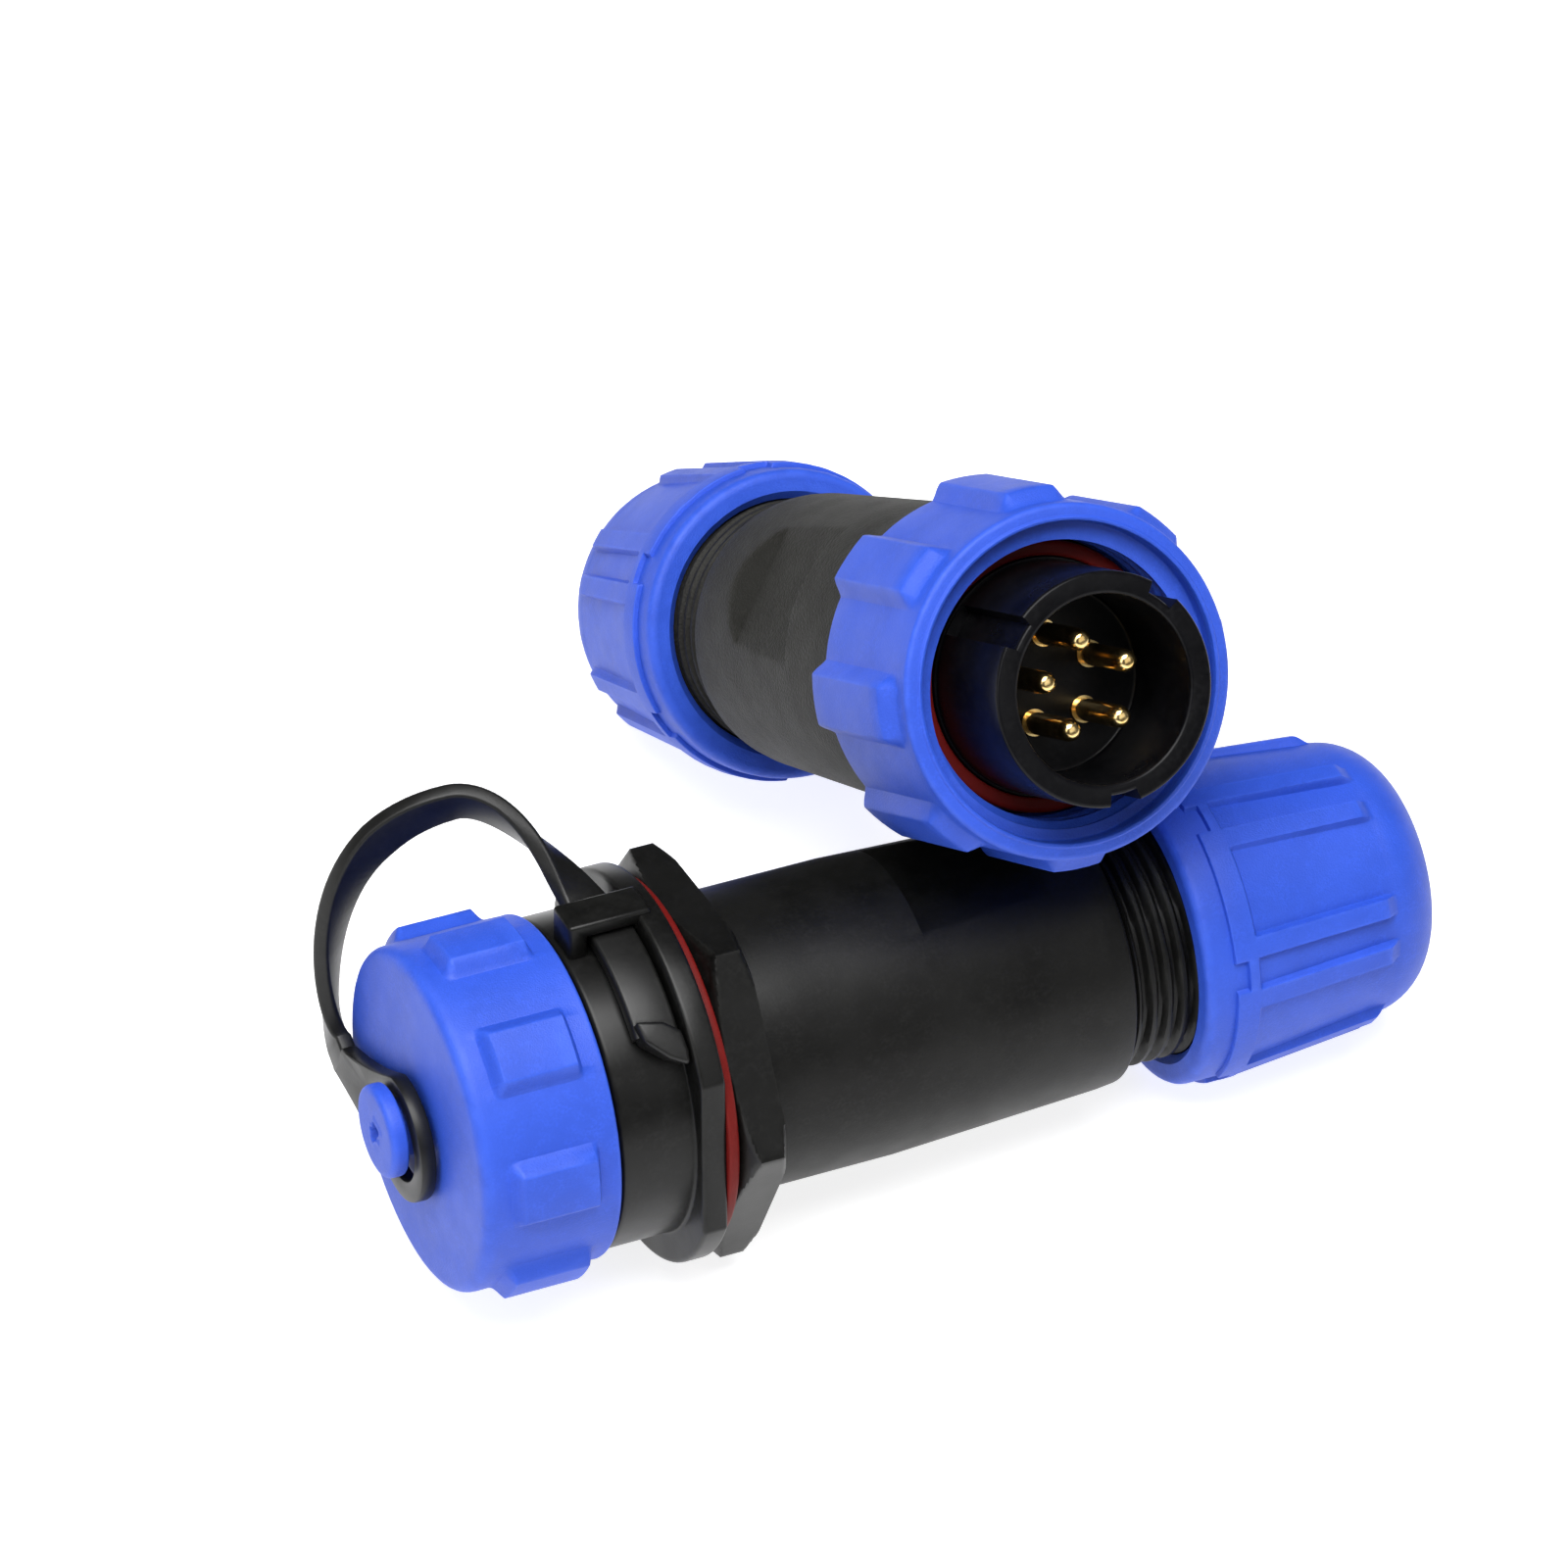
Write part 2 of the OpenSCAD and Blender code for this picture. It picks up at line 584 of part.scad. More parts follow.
module strap_tail() {
    foot_angle = 51;
    r_in = strap_seat_r - strap_t / 2;
    entry_roll = 270 - entry_angle;
    sweep = entry_angle - foot_angle;
    barb = [[-3.5, 0.2], [-2.7, 2.4], [1, 3.9], [7, 4.7], [11.3, 4.1], [9, 2.6], [3, 0.4]];
    at_recep() color(black) {
        translate([0, 0, strap_seat_s - strap_w / 2]) rotate([0, 0, entry_roll])
            rotate_extrude(angle = sweep) translate([r_in, 0]) square([strap_t, strap_w]);
        intersection() {
            tube(r_in + 2.8, r_in, strap_seat_s - strap_w / 2, flange_front - 0.1);
            translate([0, 0, strap_seat_s - strap_w / 2]) rotate([0, 0, entry_roll + sweep])
                rotate([90, 0, 90]) linear_extrude(3 * r_in)
                    polygon([for (p = barb) [r_in * tan(p[0]), p[1] - 0.2]]);
        }
    }
}

// ---------- plug ----------

module plug_shell() {
    taper_start = plug_shell_reach - 23;
    front_bore_r = insert_body_r + seat_gap;
    clip_groove_r = plug_body_r - 0.6;
    bore_step = carrier_rear + retainer_t + 1;
    shell_end = plug_nut_front + clamp_thread_end;
    at_plug() color(dark_grey) difference() {
        union() {
            rotate_extrude() polygon([[clamp_bore_r, plug_seat], [plug_body_r, plug_seat],
                [plug_body_r, clip_front - 0.1], [clip_groove_r, clip_front - 0.1],
                [clip_groove_r, clip_front + clip_t + 0.1], [plug_body_r, clip_front + clip_t + 0.1],
                [plug_body_r, plug_shoulder], [shell_r - 0.4, plug_shoulder],
                [shell_r, plug_shoulder + 0.4], [shell_r, taper_start],
                [shell_end_r + 0.2, plug_shell_reach - 2], [shell_end_r, plug_shell_reach],
                [clamp_bore_r, plug_shell_reach]]);
            ridged_tube(clamp_r, clamp_depth, clamp_pitch, clamp_bore_r, plug_shell_reach - 0.1, shell_end);
        }
        translate([0, 0, plug_seat - 1]) cylinder(r = front_bore_r, h = bore_step - plug_seat + 1);
        wrench_flats(plug_flat_roll, plug_shell_reach - 22.4);
        translate([0, 0, plug_seat]) cylinder(r = clamp_bore_r, h = shell_end);
    }
}

module plug_coupling_ring() {
    at_plug() color(blue) difference() {
        union() {
            rotate_extrude() polygon(concat([[coupling_r, 0]],
                [for (a = [-90:15:0]) [grip_r - 0.8 + 0.8 * cos(a), 0.8 + 0.8 * sin(a)]],
                [[grip_r, ring_length - 0.4], [grip_r - 0.4, ring_length], [coupling_r, ring_length]]));
            lobes(ring_roll, 1.8, ring_length, 1.4, 0.3);
        }
        translate([0, 0, -1]) cylinder(r = coupling_r + run_gap, h = clip_front + 1);
        translate([0, 0, -1]) cylinder(r = mouth_r, h = ring_mouth_depth + 1);
        translate([0, 0, ring_thread_end]) cylinder(r = mouth_r - 0.6, h = ring_web_front - ring_thread_end);
        translate([0, 0, ring_web_front - 1]) cylinder(r = ring_web_r, h = ring_length);
    }
}

module plug_insert() {
    groove_z = plug_seat + 6;
    at_plug() color(black) difference() {
        rotate_extrude() polygon([[0, carrier_front], [shroud_bore_r, carrier_front],
            [shroud_bore_r, -shroud_out + 0.4], [shroud_bore_r + 0.4, -shroud_out],
            [shroud_r - 0.3, -shroud_out], [shroud_r, -shroud_out + 0.3],
            [shroud_r, shroud_step], [insert_body_r, shroud_step],
            [insert_body_r, groove_z - 0.9], [insert_body_r - 1, groove_z - 0.9],
            [insert_body_r - 1, groove_z + 0.9], [insert_body_r, groove_z + 0.9],
            [insert_body_r, carrier_rear], [0, carrier_rear]]);
        key_wedges(key_roll, shroud_r - key_depth, shroud_r + 1, -shroud_out - 1, shroud_step - 0.2,
            key_angle);
        for (i = [1:contact_count]) contact_spot(i, key_roll)
            translate([0, 0, carrier_front - 1]) cylinder(r = pin_shank_r + seat_gap, h = carrier_rear);
    }
}

module plug_pin(i)
    at_plug(pin_front) color(gold) contact_spot(i, key_roll) {
        rotate_extrude($fn = 48) polygon([[0, 0], [pin_r * 0.45, 0], [pin_r, pin_r * 0.7],
            [pin_r, pin_shoulder - pin_front], [pin_shank_r, pin_shoulder - pin_front],
            [pin_shank_r, pin_length], [0, pin_length]]);
    }

module plug_face_gasket()
    at_plug() color(red) tube(plug_body_r - 0.1, insert_body_r + seat_gap, face_gasket_front, plug_seat);

module plug_insert_o_ring()
    at_plug() color(red) torus(insert_body_r - 0.5, 0.45, plug_seat + 6);

module plug_contact_retainer()
    at_plug(carrier_rear) contact_retainer(insert_body_r, retainer_t);

module plug_ring_clip()
    at_plug(clip_front) color(dark_grey) difference() {
        tube(plug_body_r + 0.7, plug_body_r - 0.5, 0, clip_t);
        translate([plug_body_r, 0, clip_t / 2]) cube([4, 3, 2 * clip_t], center = true);
    }

module plug_cable_seal() at_plug(plug_nut_front) cable_seal();

module plug_clamp_collet() at_plug(plug_nut_front) clamp_collet();

module plug_thrust_washer() at_plug(plug_nut_front) thrust_washer();

module plug_clamp_nut() at_plug(plug_nut_front) clamp_nut(plug_nut_roll);

// ---------- pieces ----------

recep_shell();
recep_flange_gasket();
recep_panel_nut();
recep_insert();
for (i = [1:contact_count])
    recep_socket(i);
recep_insert_o_ring();
recep_contact_retainer();
recep_back_shell();
recep_back_shell_o_ring();
recep_cable_seal();
recep_clamp_collet();
recep_thrust_washer();
recep_clamp_nut();
cap();
cap_gasket();
strap_eye();
strap_ribbon();
strap_tail();
plug_shell();
plug_coupling_ring();
plug_insert();
for (i = [1:contact_count])
    plug_pin(i);
plug_face_gasket();
plug_insert_o_ring();
plug_contact_retainer();
plug_ring_clip();
plug_cable_seal();
plug_clamp_collet();
plug_thrust_washer();
plug_clamp_nut();
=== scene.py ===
"""Looks of the solar cable connector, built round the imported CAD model.

Lengths are in millimetres in each half's own frame, as in part.scad: +Z runs from the
mating face to the cable, and roll 0 points down, 90 to the far side, 180 up.
"""
import json
import math

import bmesh
import bpy
from mathutils import Matrix, Vector


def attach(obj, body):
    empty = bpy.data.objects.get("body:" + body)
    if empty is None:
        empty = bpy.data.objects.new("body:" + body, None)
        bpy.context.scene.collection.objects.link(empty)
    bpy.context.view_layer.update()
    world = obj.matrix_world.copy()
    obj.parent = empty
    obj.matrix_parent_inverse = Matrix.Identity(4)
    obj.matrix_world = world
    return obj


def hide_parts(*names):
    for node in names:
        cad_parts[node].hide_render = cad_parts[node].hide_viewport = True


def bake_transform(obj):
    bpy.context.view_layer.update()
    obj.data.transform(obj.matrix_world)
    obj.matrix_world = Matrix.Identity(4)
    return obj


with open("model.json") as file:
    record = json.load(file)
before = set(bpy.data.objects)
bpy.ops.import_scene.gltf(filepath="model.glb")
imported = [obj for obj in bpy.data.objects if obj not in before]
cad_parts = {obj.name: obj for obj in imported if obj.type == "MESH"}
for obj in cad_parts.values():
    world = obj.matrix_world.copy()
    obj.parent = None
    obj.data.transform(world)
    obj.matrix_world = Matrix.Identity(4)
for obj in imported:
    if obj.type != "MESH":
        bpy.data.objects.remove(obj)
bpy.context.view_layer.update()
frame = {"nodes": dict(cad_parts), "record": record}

MM = 0.001
scene = bpy.context.scene

# ---------- sizes repeated from part.scad ----------

PAIR_X, PAIR_Y = 45.41, 26.09
RECEP_DIP, RECEP_Z = 3.45993, 19.1134
PLUG_ORIGIN = (60.0 - PAIR_X, -5.4 - PAIR_Y, 51.5025)
PLUG_DIP, PLUG_YAW = 30.9, 94.8

SHROUD_R, SHROUD_BORE_R, SHROUD_OUT = 10.2, 8.2, 6.8
KEY_ANGLE, KEY_DEPTH, KEY_SPREAD, KEY_ROLL = 16, 1.0, 46.5, 184.8
GRIP_R, LOBE_R, LOBES = 15.5, 16.8, 8
RING_LENGTH, MOUTH_R, COUPLING_R, COUPLING_PITCH = 17.0, 14.0, 12.1, 2.0
CAP_LENGTH, NECK_FRONT, FLANGE_FRONT, FLANGE_T = 12.8, 13.1, 20.0, 2.3
NECK_R, FLANGE_R, FLANGE_FLAT = 14.9, 17.8, 16.1
FLANGE_REAR = FLANGE_FRONT + FLANGE_T
PANEL_NUT_FRONT, PANEL_NUT_T, PANEL_NUT_AF = 23.3, 4.1, 32.0
BACK_FRONT, BACK_REAR, RECEP_NUT = 27.7, 63.5, 69.5
SHELL_R, SHELL_END_R, WRENCH_FLAT = 13.45, 12.4, 11.6
PLUG_SHELL_REAR, PLUG_NUT = 52.4, 58.4
CLAMP_R, CLAMP_PITCH, CLAMP_DEPTH = 11.4, 1.5, 0.65
NUT_R, NUT_END_R, NUT_LENGTH, NUT_DOME = 14.65, 12.5, 25.2, 5.8
CONTACT_R, PIN_R, PIN_FRONT, PIN_LENGTH = 4.1, 1.0, -4.2, 33.0
PIN_SHOULDER, PIN_SHANK_R = 3.6, 1.2
INSERT_R, SHROUD_STEP, SEAT_BORE_R, PLUG_SEAT = 10.4, 5.4, 10.5, 7.6
CARRIER_FRONT, CARRIER_REAR = 4.0, 22.0
BARREL_FRONT, CAVITY_R, RECEP_SHELL_REAR = 3.1, 10.45, 36.7
PANEL_THREAD_R, PANEL_THREAD_DEPTH, PANEL_PITCH = 12.0, 0.6, 1.5
COUPLING_DEPTH = 0.7
BACK_BORE_R, BACK_BORE_END = 12.1, 38.3
CLIP_GROOVE_FRONT, CLIP_GROOVE_REAR, CLIP_GROOVE_DEPTH = 10.7, 11.9, 0.6
CLAMP_THREAD_END, CLAMP_BORE_R = 9.2, 9.4
NUT_HOLE_R, NUT_FLOOR, NUT_BORE_R, NUT_THREAD_END = 6.5, 20.9, 9.8, 13.3

CAP_ROLL, RING_ROLL, HEX_ROLL, FLANGE_ROLL = 34, 8.6, 23, 83
BRIDGE_ROLL, RECEP_NUT_ROLL, PLUG_NUT_ROLL = 176.5, 12, 8
PLUG_FLAT_ROLL, BACK_FLAT_ROLL = 133.5, 177


def place(origin, *turns):
    """Matrix from a half's own frame in millimetres to the row frame in metres."""
    m = Matrix.Scale(MM, 4) @ Matrix.Translation(origin)
    for degrees, axis in turns:
        m = m @ Matrix.Rotation(math.radians(degrees), 4, axis)
    return m


RECEP = place((-PAIR_X, -PAIR_Y, RECEP_Z), (RECEP_DIP, "Y"), (90, "Y"))
PLUG = place(PLUG_ORIGIN, (PLUG_YAW, "Z"), (90 + PLUG_DIP, "Y"))


# ---------- camera ----------

CAMERA_ANGLES = (-23.488, 40.956, -1.096)
CAMERA_TARGET = (44.115 - PAIR_X, 20.217 - PAIR_Y, 25.685)
CAMERA_DISTANCE = 0.902
LENS, SENSOR = 233.08, 36


def make_camera():
    azimuth, elevation, roll = (math.radians(a) for a in CAMERA_ANGLES)
    target = Vector(CAMERA_TARGET) * MM
    back = Vector((math.sin(azimuth) * math.cos(elevation),
                   -math.cos(azimuth) * math.cos(elevation), math.sin(elevation)))
    right = Vector((math.cos(azimuth), math.sin(azimuth), 0))
    up = back.cross(right)
    turned_right = right * math.cos(roll) + up * math.sin(roll)
    turned_up = up * math.cos(roll) - right * math.sin(roll)
    data = bpy.data.cameras.new("camera")
    data.lens = LENS
    data.sensor_width = SENSOR
    data.clip_start = 0.01
    data.clip_end = 20
    camera = bpy.data.objects.new("camera", data)
    scene.collection.objects.link(camera)
    axes = Matrix((turned_right, turned_up, back)).transposed().to_4x4()
    camera.matrix_world = Matrix.Translation(target + back * CAMERA_DISTANCE) @ axes
    scene.camera = camera


make_camera()


# ---------- mesh helpers ----------

def rounded(corners, arc=4, loop=True):
    """Profile points (r, z) from corners (r, z[, radius]), each corner filleted."""
    out = []
    count = len(corners)
    for i, corner in enumerate(corners):
        p = Vector(corner[:2])
        radius = corner[2] if len(corner) > 2 else 0
        if radius == 0 or (not loop and i in (0, count - 1)):
            out.append(tuple(p))
            continue
        before = Vector(corners[i - 1][:2]) - p
        after = Vector(corners[(i + 1) % count][:2]) - p
        angle = before.angle(after)
        reach = min(radius / math.tan(angle / 2), before.length * 0.49, after.length * 0.49)
        a = p + before.normalized() * reach
        b = p + after.normalized() * reach
        for k in range(arc + 1):
            t = k / arc
            out.append(tuple((1 - t) ** 2 * a + 2 * t * (1 - t) * p + t * t * b))
    return out


def refined(profile, step=3.0, cuts=(), r_min=0.0, loop=True):
    """Profile with long stretches split, and split again at the stations in cuts."""
    out = []
    count = len(profile)
    for i in range(count if loop else count - 1):
        a, b = Vector(profile[i]), Vector(profile[(i + 1) % count])
        stops = {0.0}
        pieces = max(1, math.ceil((b - a).length / step))
        stops.update(k / pieces for k in range(pieces))
        if min(a[0], b[0]) >= r_min and abs(b[1] - a[1]) > 1e-6:
            for z in cuts:
                t = (z - a[1]) / (b[1] - a[1])
                if 0.001 < t < 0.999:
                    stops.add(t)
        out.extend(tuple(a.lerp(b, t)) for t in sorted(stops))
    if not loop:
        out.append(tuple(profile[-1]))
    return out


def angles_round(step, centres=(), offsets=()):
    """Sorted angles in degrees: an even ring plus the offsets round each centre."""
    special = sorted({round((c + o) % 360, 4) for c in centres for o in offsets})
    even = [k * step for k in range(round(360 / step))]

    def clear(angle):
        return all(abs((angle - s + 180) % 360 - 180) > 0.45 * step for s in special)

    return sorted(special + [a for a in even if clear(a)])


def fan(start, stop, count):
    return [start + (stop - start) * k / count for k in range(count + 1)]


def mirrored(values):
    return sorted({v for x in values for v in (x, -x)})


def finish_mesh(name, verts, faces, where, body, material, sharp=32, nodes=()):
    mesh = bpy.data.meshes.new(name)
    mesh.from_pydata([where @ Vector(v) for v in verts], [], faces)
    bm = bmesh.new()
    bm.from_mesh(mesh)
    bmesh.ops.remove_doubles(bm, verts=bm.verts, dist=2e-7)
    bmesh.ops.dissolve_degenerate(bm, edges=bm.edges, dist=2e-7)
    bmesh.ops.recalc_face_normals(bm, faces=bm.faces)
    bm.to_mesh(mesh)
    bm.free()
    mark_wear(mesh)
    mesh.shade_smooth()
    mesh.set_sharp_from_angle(angle=math.radians(sharp))
    mesh.materials.append(material)
    piece = bpy.data.objects.new(name, mesh)
    scene.collection.objects.link(piece)
    if body:
        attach(piece, body)
    if nodes:
        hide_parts(*nodes)
    return piece


def mark_wear(mesh):
    """Stores how convex each vertex is, for the wear on edges."""
    bm = bmesh.new()
    bm.from_mesh(mesh)
    layer = bm.verts.layers.float.new("wear")
    for v in bm.verts:
        total = sum(e.calc_face_angle_signed(0.0) for e in v.link_edges)
        v[layer] = max(-1.0, min(1.0, total / 1.2))
    bm.to_mesh(mesh)
    bm.free()


def turned(name, profile, where, body, material, angles, shape=None, nodes=(),
           loop=True, sharp=32):
    """A solid of revolution on a grid, with shape(r, z, degrees) moving its points."""
    verts, faces, rows = [], [], []
    for r, z in profile:
        if r < 1e-6:
            rows.append([len(verts)])
            verts.append((0, 0, shape(0, z, 0)[1] if shape else z))
            continue
        row = []
        for a in angles:
            rr, zz = shape(r, z, a) if shape else (r, z)
            row.append(len(verts))
            verts.append((rr * math.cos(math.radians(a)), rr * math.sin(math.radians(a)), zz))
        rows.append(row)
    n = len(angles)
    for i in range(len(rows) if loop else len(rows) - 1):
        a, b = rows[i], rows[(i + 1) % len(rows)]
        for j in range(n):
            k = (j + 1) % n
            if len(a) == 1 and len(b) == 1:
                continue
            if len(a) == 1:
                faces.append((a[0], b[j], b[k]))
            elif len(b) == 1:
                faces.append((a[j], a[k], b[0]))
            else:
                faces.append((a[j], a[k], b[k], b[j]))
    return finish_mesh(name, verts, faces, where, body, material, sharp, nodes)


def soft(t):
    """0 to 1 with rounded ends."""
    t = max(0.0, min(1.0, t))
    return 0.45 * t + 0.55 * t * t * (3 - 2 * t)


def from_centre(a, roll, period):
    """Signed angle from the nearest of the centres at roll + k * period."""
    return (a - roll + period / 2) % period - period / 2


# ---------- materials ----------

def new_material(name):
    material = bpy.data.materials.new(name)
    material.use_nodes = True
    nodes = material.node_tree.nodes
    return material, nodes, material.node_tree.links, nodes["Principled BSDF"]


def moulded(name, colour, rough, grain, grain_mm, bump, wear_colour, wear=0.35, tint=0.06,
            specular=0.5):
    """Moulded plastic or rubber: grain in the bump, slow tint changes, and rubbed edges."""
    material, nodes, links, bsdf = new_material(name)
    coords = nodes.new("ShaderNodeTexCoord")

    def noise(scale_mm, detail, distortion=0.0):
        node = nodes.new("ShaderNodeTexNoise")
        node.inputs["Scale"].default_value = 1 / (scale_mm * MM)
        node.inputs["Detail"].default_value = detail
        node.inputs["Distortion"].default_value = distortion
        links.new(coords.outputs["Object"], node.inputs["Vector"])
        return node.outputs["Fac"]

    def mixed(factor, a, b):
        node = nodes.new("ShaderNodeMix")
        node.data_type = "RGBA"
        links.new(factor, node.inputs["Factor"])
        for socket, value in (("A", a), ("B", b)):
            target = [i for i in node.inputs if i.name == socket and i.type == "RGBA"][0]
            if isinstance(value, tuple):
                target.default_value = (*value, 1)
            else:
                links.new(value, target)
        return [o for o in node.outputs if o.type == "RGBA"][0]

    def mapped(value, low, high, to_low=0.0, to_high=1.0):
        node = nodes.new("ShaderNodeMapRange")
        node.interpolation_type = "SMOOTHSTEP"
        node.inputs["From Min"].default_value = low
        node.inputs["From Max"].default_value = high
        node.inputs["To Min"].default_value = to_low
        node.inputs["To Max"].default_value = to_high
        links.new(value, node.inputs["Value"])
        return node.outputs["Result"]

    def multiplied(a, b):
        node = nodes.new("ShaderNodeMath")
        node.operation = "MULTIPLY"
        links.new(a, node.inputs[0])
        links.new(b, node.inputs[1])
        return node.outputs[0]

    light = tuple(min(1, c * (1 + tint) + tint * 0.02) for c in colour)
    dark = tuple(c * (1 - tint) for c in colour)
    base = mixed(mapped(noise(7, 3, 0.4), 0.3, 0.7), dark, light)
    speck = mapped(noise(grain_mm * 1.6, 2), 0.35, 0.7)
    grainy = tuple(min(1, c * (1 + 2.2 * tint) + tint * 0.03) for c in colour)
    base = mixed(multiplied(speck, mapped(noise(1.3, 2), 0.3, 0.7)), base, grainy)
    if wear:
        attribute = nodes.new("ShaderNodeAttribute")
        attribute.attribute_name = "wear"
        convex = mapped(attribute.outputs["Fac"], 0.15, 0.75, 0.0, wear)
        rubbed = multiplied(convex, mapped(noise(1.8, 3), 0.3, 0.62))
        base = mixed(rubbed, base, wear_colour)
    links.new(base, bsdf.inputs["Base Color"])
    rough_map = mapped(noise(3.2, 4), 0.25, 0.75, rough - 0.03, rough + 0.03)
    links.new(rough_map, bsdf.inputs["Roughness"])
    bsdf.inputs["Specular IOR Level"].default_value = specular

    fine = nodes.new("ShaderNodeBump")
    fine.inputs["Strength"].default_value = grain
    fine.inputs["Distance"].default_value = bump * MM
    links.new(noise(grain_mm, 2), fine.inputs["Height"])
    coarse = nodes.new("ShaderNodeBump")
    coarse.inputs["Strength"].default_value = 0.08
    coarse.inputs["Distance"].default_value = 0.05 * MM
    links.new(noise(4.5, 2), coarse.inputs["Height"])
    links.new(fine.outputs["Normal"], coarse.inputs["Normal"])
    links.new(coarse.outputs["Normal"], bsdf.inputs["Normal"])
    return material


def gold_metal():
    material, nodes, links, bsdf = new_material("gold_plate")
    coords = nodes.new("ShaderNodeTexCoord")
    noise = nodes.new("ShaderNodeTexNoise")
    noise.inputs["Scale"].default_value = 1 / (0.8 * MM)
    noise.inputs["Detail"].default_value = 3
    links.new(coords.outputs["Object"], noise.inputs["Vector"])
    ramp = nodes.new("ShaderNodeValToRGB")
    ramp.color_ramp.elements[0].color = (0.78, 0.50, 0.16, 1)
    ramp.color_ramp.elements[0].position = 0.3
    ramp.color_ramp.elements[1].color = (0.98, 0.76, 0.36, 1)
    ramp.color_ramp.elements[1].position = 0.7
    links.new(noise.outputs["Fac"], ramp.inputs["Fac"])
    links.new(ramp.outputs["Color"], bsdf.inputs["Base Color"])
    spread = nodes.new("ShaderNodeMapRange")
    spread.inputs["To Min"].default_value = 0.12
    spread.inputs["To Max"].default_value = 0.28
    links.new(noise.outputs["Fac"], spread.inputs["Value"])
    links.new(spread.outputs["Result"], bsdf.inputs["Roughness"])
    bsdf.inputs["Metallic"].default_value = 1.0
    bump = nodes.new("ShaderNodeBump")
    bump.inputs["Strength"].default_value = 0.15
    bump.inputs["Distance"].default_value = 0.02 * MM
    links.new(noise.outputs["Fac"], bump.inputs["Height"])
    links.new(bump.outputs["Normal"], bsdf.inputs["Normal"])
    return material


blue = moulded("blue_moulding", (0.019, 0.066, 0.46), 0.52, 0.8, 0.16, 0.05,
               (0.035, 0.10, 0.60), wear=0.4, tint=0.06, specular=0.32)
black = moulded("black_moulding", (0.0022, 0.0022, 0.0019), 0.44, 0.5, 0.20, 0.02,
                (0.012, 0.012, 0.011), wear=0.3, tint=0.12, specular=0.18)
satin = moulded("black_satin", (0.0020, 0.0020, 0.0018), 0.34, 0.3, 0.25, 0.012,
                (0.012, 0.012, 0.011), wear=0.3, tint=0.12, specular=0.22)
plug_grey = moulded("plug_moulding", (0.0085, 0.0083, 0.0068), 0.62, 1.0, 0.26, 0.10,
                    (0.022, 0.021, 0.017), wear=0.3, tint=0.12, specular=0.2)
# Black insert plastic, darker and less glossy than the other black mouldings: painted shade for the
# deep recess inside the shroud and the receptacle's cavity.
insert_black_painted_shade = moulded("insert_plastic", (0.0012, 0.0012, 0.0018), 0.30, 0.2, 0.3, 0.008,
                       (0.006, 0.006, 0.008), wear=0.3, tint=0.1, specular=0.12)
strap_black = moulded("strap_plastic", (0.0028, 0.0028, 0.0026), 0.40, 0.35, 0.3, 0.02,
                      (0.012, 0.012, 0.012), wear=0.25, tint=0.12, specular=0.3)
red = moulded("red_silicone", (0.11, 0.0045, 0.0035), 0.50, 0.3, 0.3, 0.02,
              (0.13, 0.01, 0.008), wear=0.2, tint=0.06, specular=0.12)
seal_grey = moulded("seal_rubber", (0.02, 0.02, 0.02), 0.6, 0.4, 0.3, 0.03,
                    (0.04, 0.04, 0.04), wear=0.3, tint=0.12, specular=0.3)
natural = moulded("natural_plastic", (0.62, 0.61, 0.57), 0.45, 0.3, 0.3, 0.02,
                  (0.7, 0.69, 0.65), wear=0.2, tint=0.05)
gold = gold_metal()

SLOTS = {"blue_plastic": blue, "black_plastic": black, "plug_plastic": plug_grey,
         "insert_plastic": insert_black_painted_shade, "strap_plastic": strap_black, "red_rubber": red,
         "seal_rubber": seal_grey, "washer_plastic": natural, "gold_contact": gold}


def dress_cad():
    """Every CAD node gets its slot's material."""
    slot_of = {row["node"]: row["material_slot"] for row in frame["record"]["subparts"]}
    for name, node in frame["nodes"].items():
        material = SLOTS[slot_of[name]]
        if node.material_slots:
            for slot in node.material_slots:
                slot.material = material
        else:
            node.data.materials.append(material)


dress_cad()


# ---------- grips ----------

LOBE_TOP, LOBE_FOOT = 7.6, 12.2
LOBE_OFFSETS = mirrored([0, 3.6] + [LOBE_TOP - 0.5] + [
    LOBE_TOP + (LOBE_FOOT - LOBE_TOP) * t for t in (0, 0.12, 0.35, 0.65, 0.88, 1)]
    + [LOBE_FOOT + 0.6, 17])


def lobe_shape(roll, z0, front, z1, rear):
    """Raises the grip's wall into lobes between stations z0 and z1."""
    def shape(r, z, a):
        if r < GRIP_R - 0.9:
            return r, z
        d = abs(from_centre(a, roll, 360 / LOBES))
        across = soft((LOBE_FOOT - d) / (LOBE_FOOT - LOBE_TOP))
        along = soft((z - z0) / front) * (soft((z1 - z) / rear) if rear else 1)
        return r + (LOBE_R - GRIP_R) * across * along, z
    return shape


def lobe_angles(roll):
    return angles_round(3, [roll + k * 360 / LOBES for k in range(LOBES)], LOBE_OFFSETS)


def steps(z0, width):
    return [z0 + width * t for t in (0, 0.12, 0.35, 0.65, 0.88, 1)]


def internal_thread(root, crest, pitch, z0, z1):
    """Screw thread on a bore: shape for points that lie at the root radius."""
    def shape(r, z, a):
        if abs(r - root) > 1e-4 or not z0 < z < z1:
            return r, z
        return root - (root - crest) * tooth((z - z0) / pitch - a / 360), z
    return shape


def external_thread(crest, depth, pitch, z0, z1, run_out=0.6):
    """Screw thread on a wall: shape for points that lie at the crest radius."""
    def shape(r, z, a):
        if abs(r - crest) > 1e-4 or not z0 <= z <= z1:
            return r, z
        ends = min(1, (z - z0) / run_out, (z1 - z) / run_out)
        return r - depth + depth * tooth((z - z0) / pitch - a / 360) * max(0, ends), z
    return shape


def tooth(turn):
    t = abs(turn % 1 - 0.5) * 2
    return soft((0.80 - t) / 0.52)


def thread_rows(z0, z1, pitch, per_turn=9):
    count = round((z1 - z0) / pitch * per_turn)
    return fan(z0, z1, count)


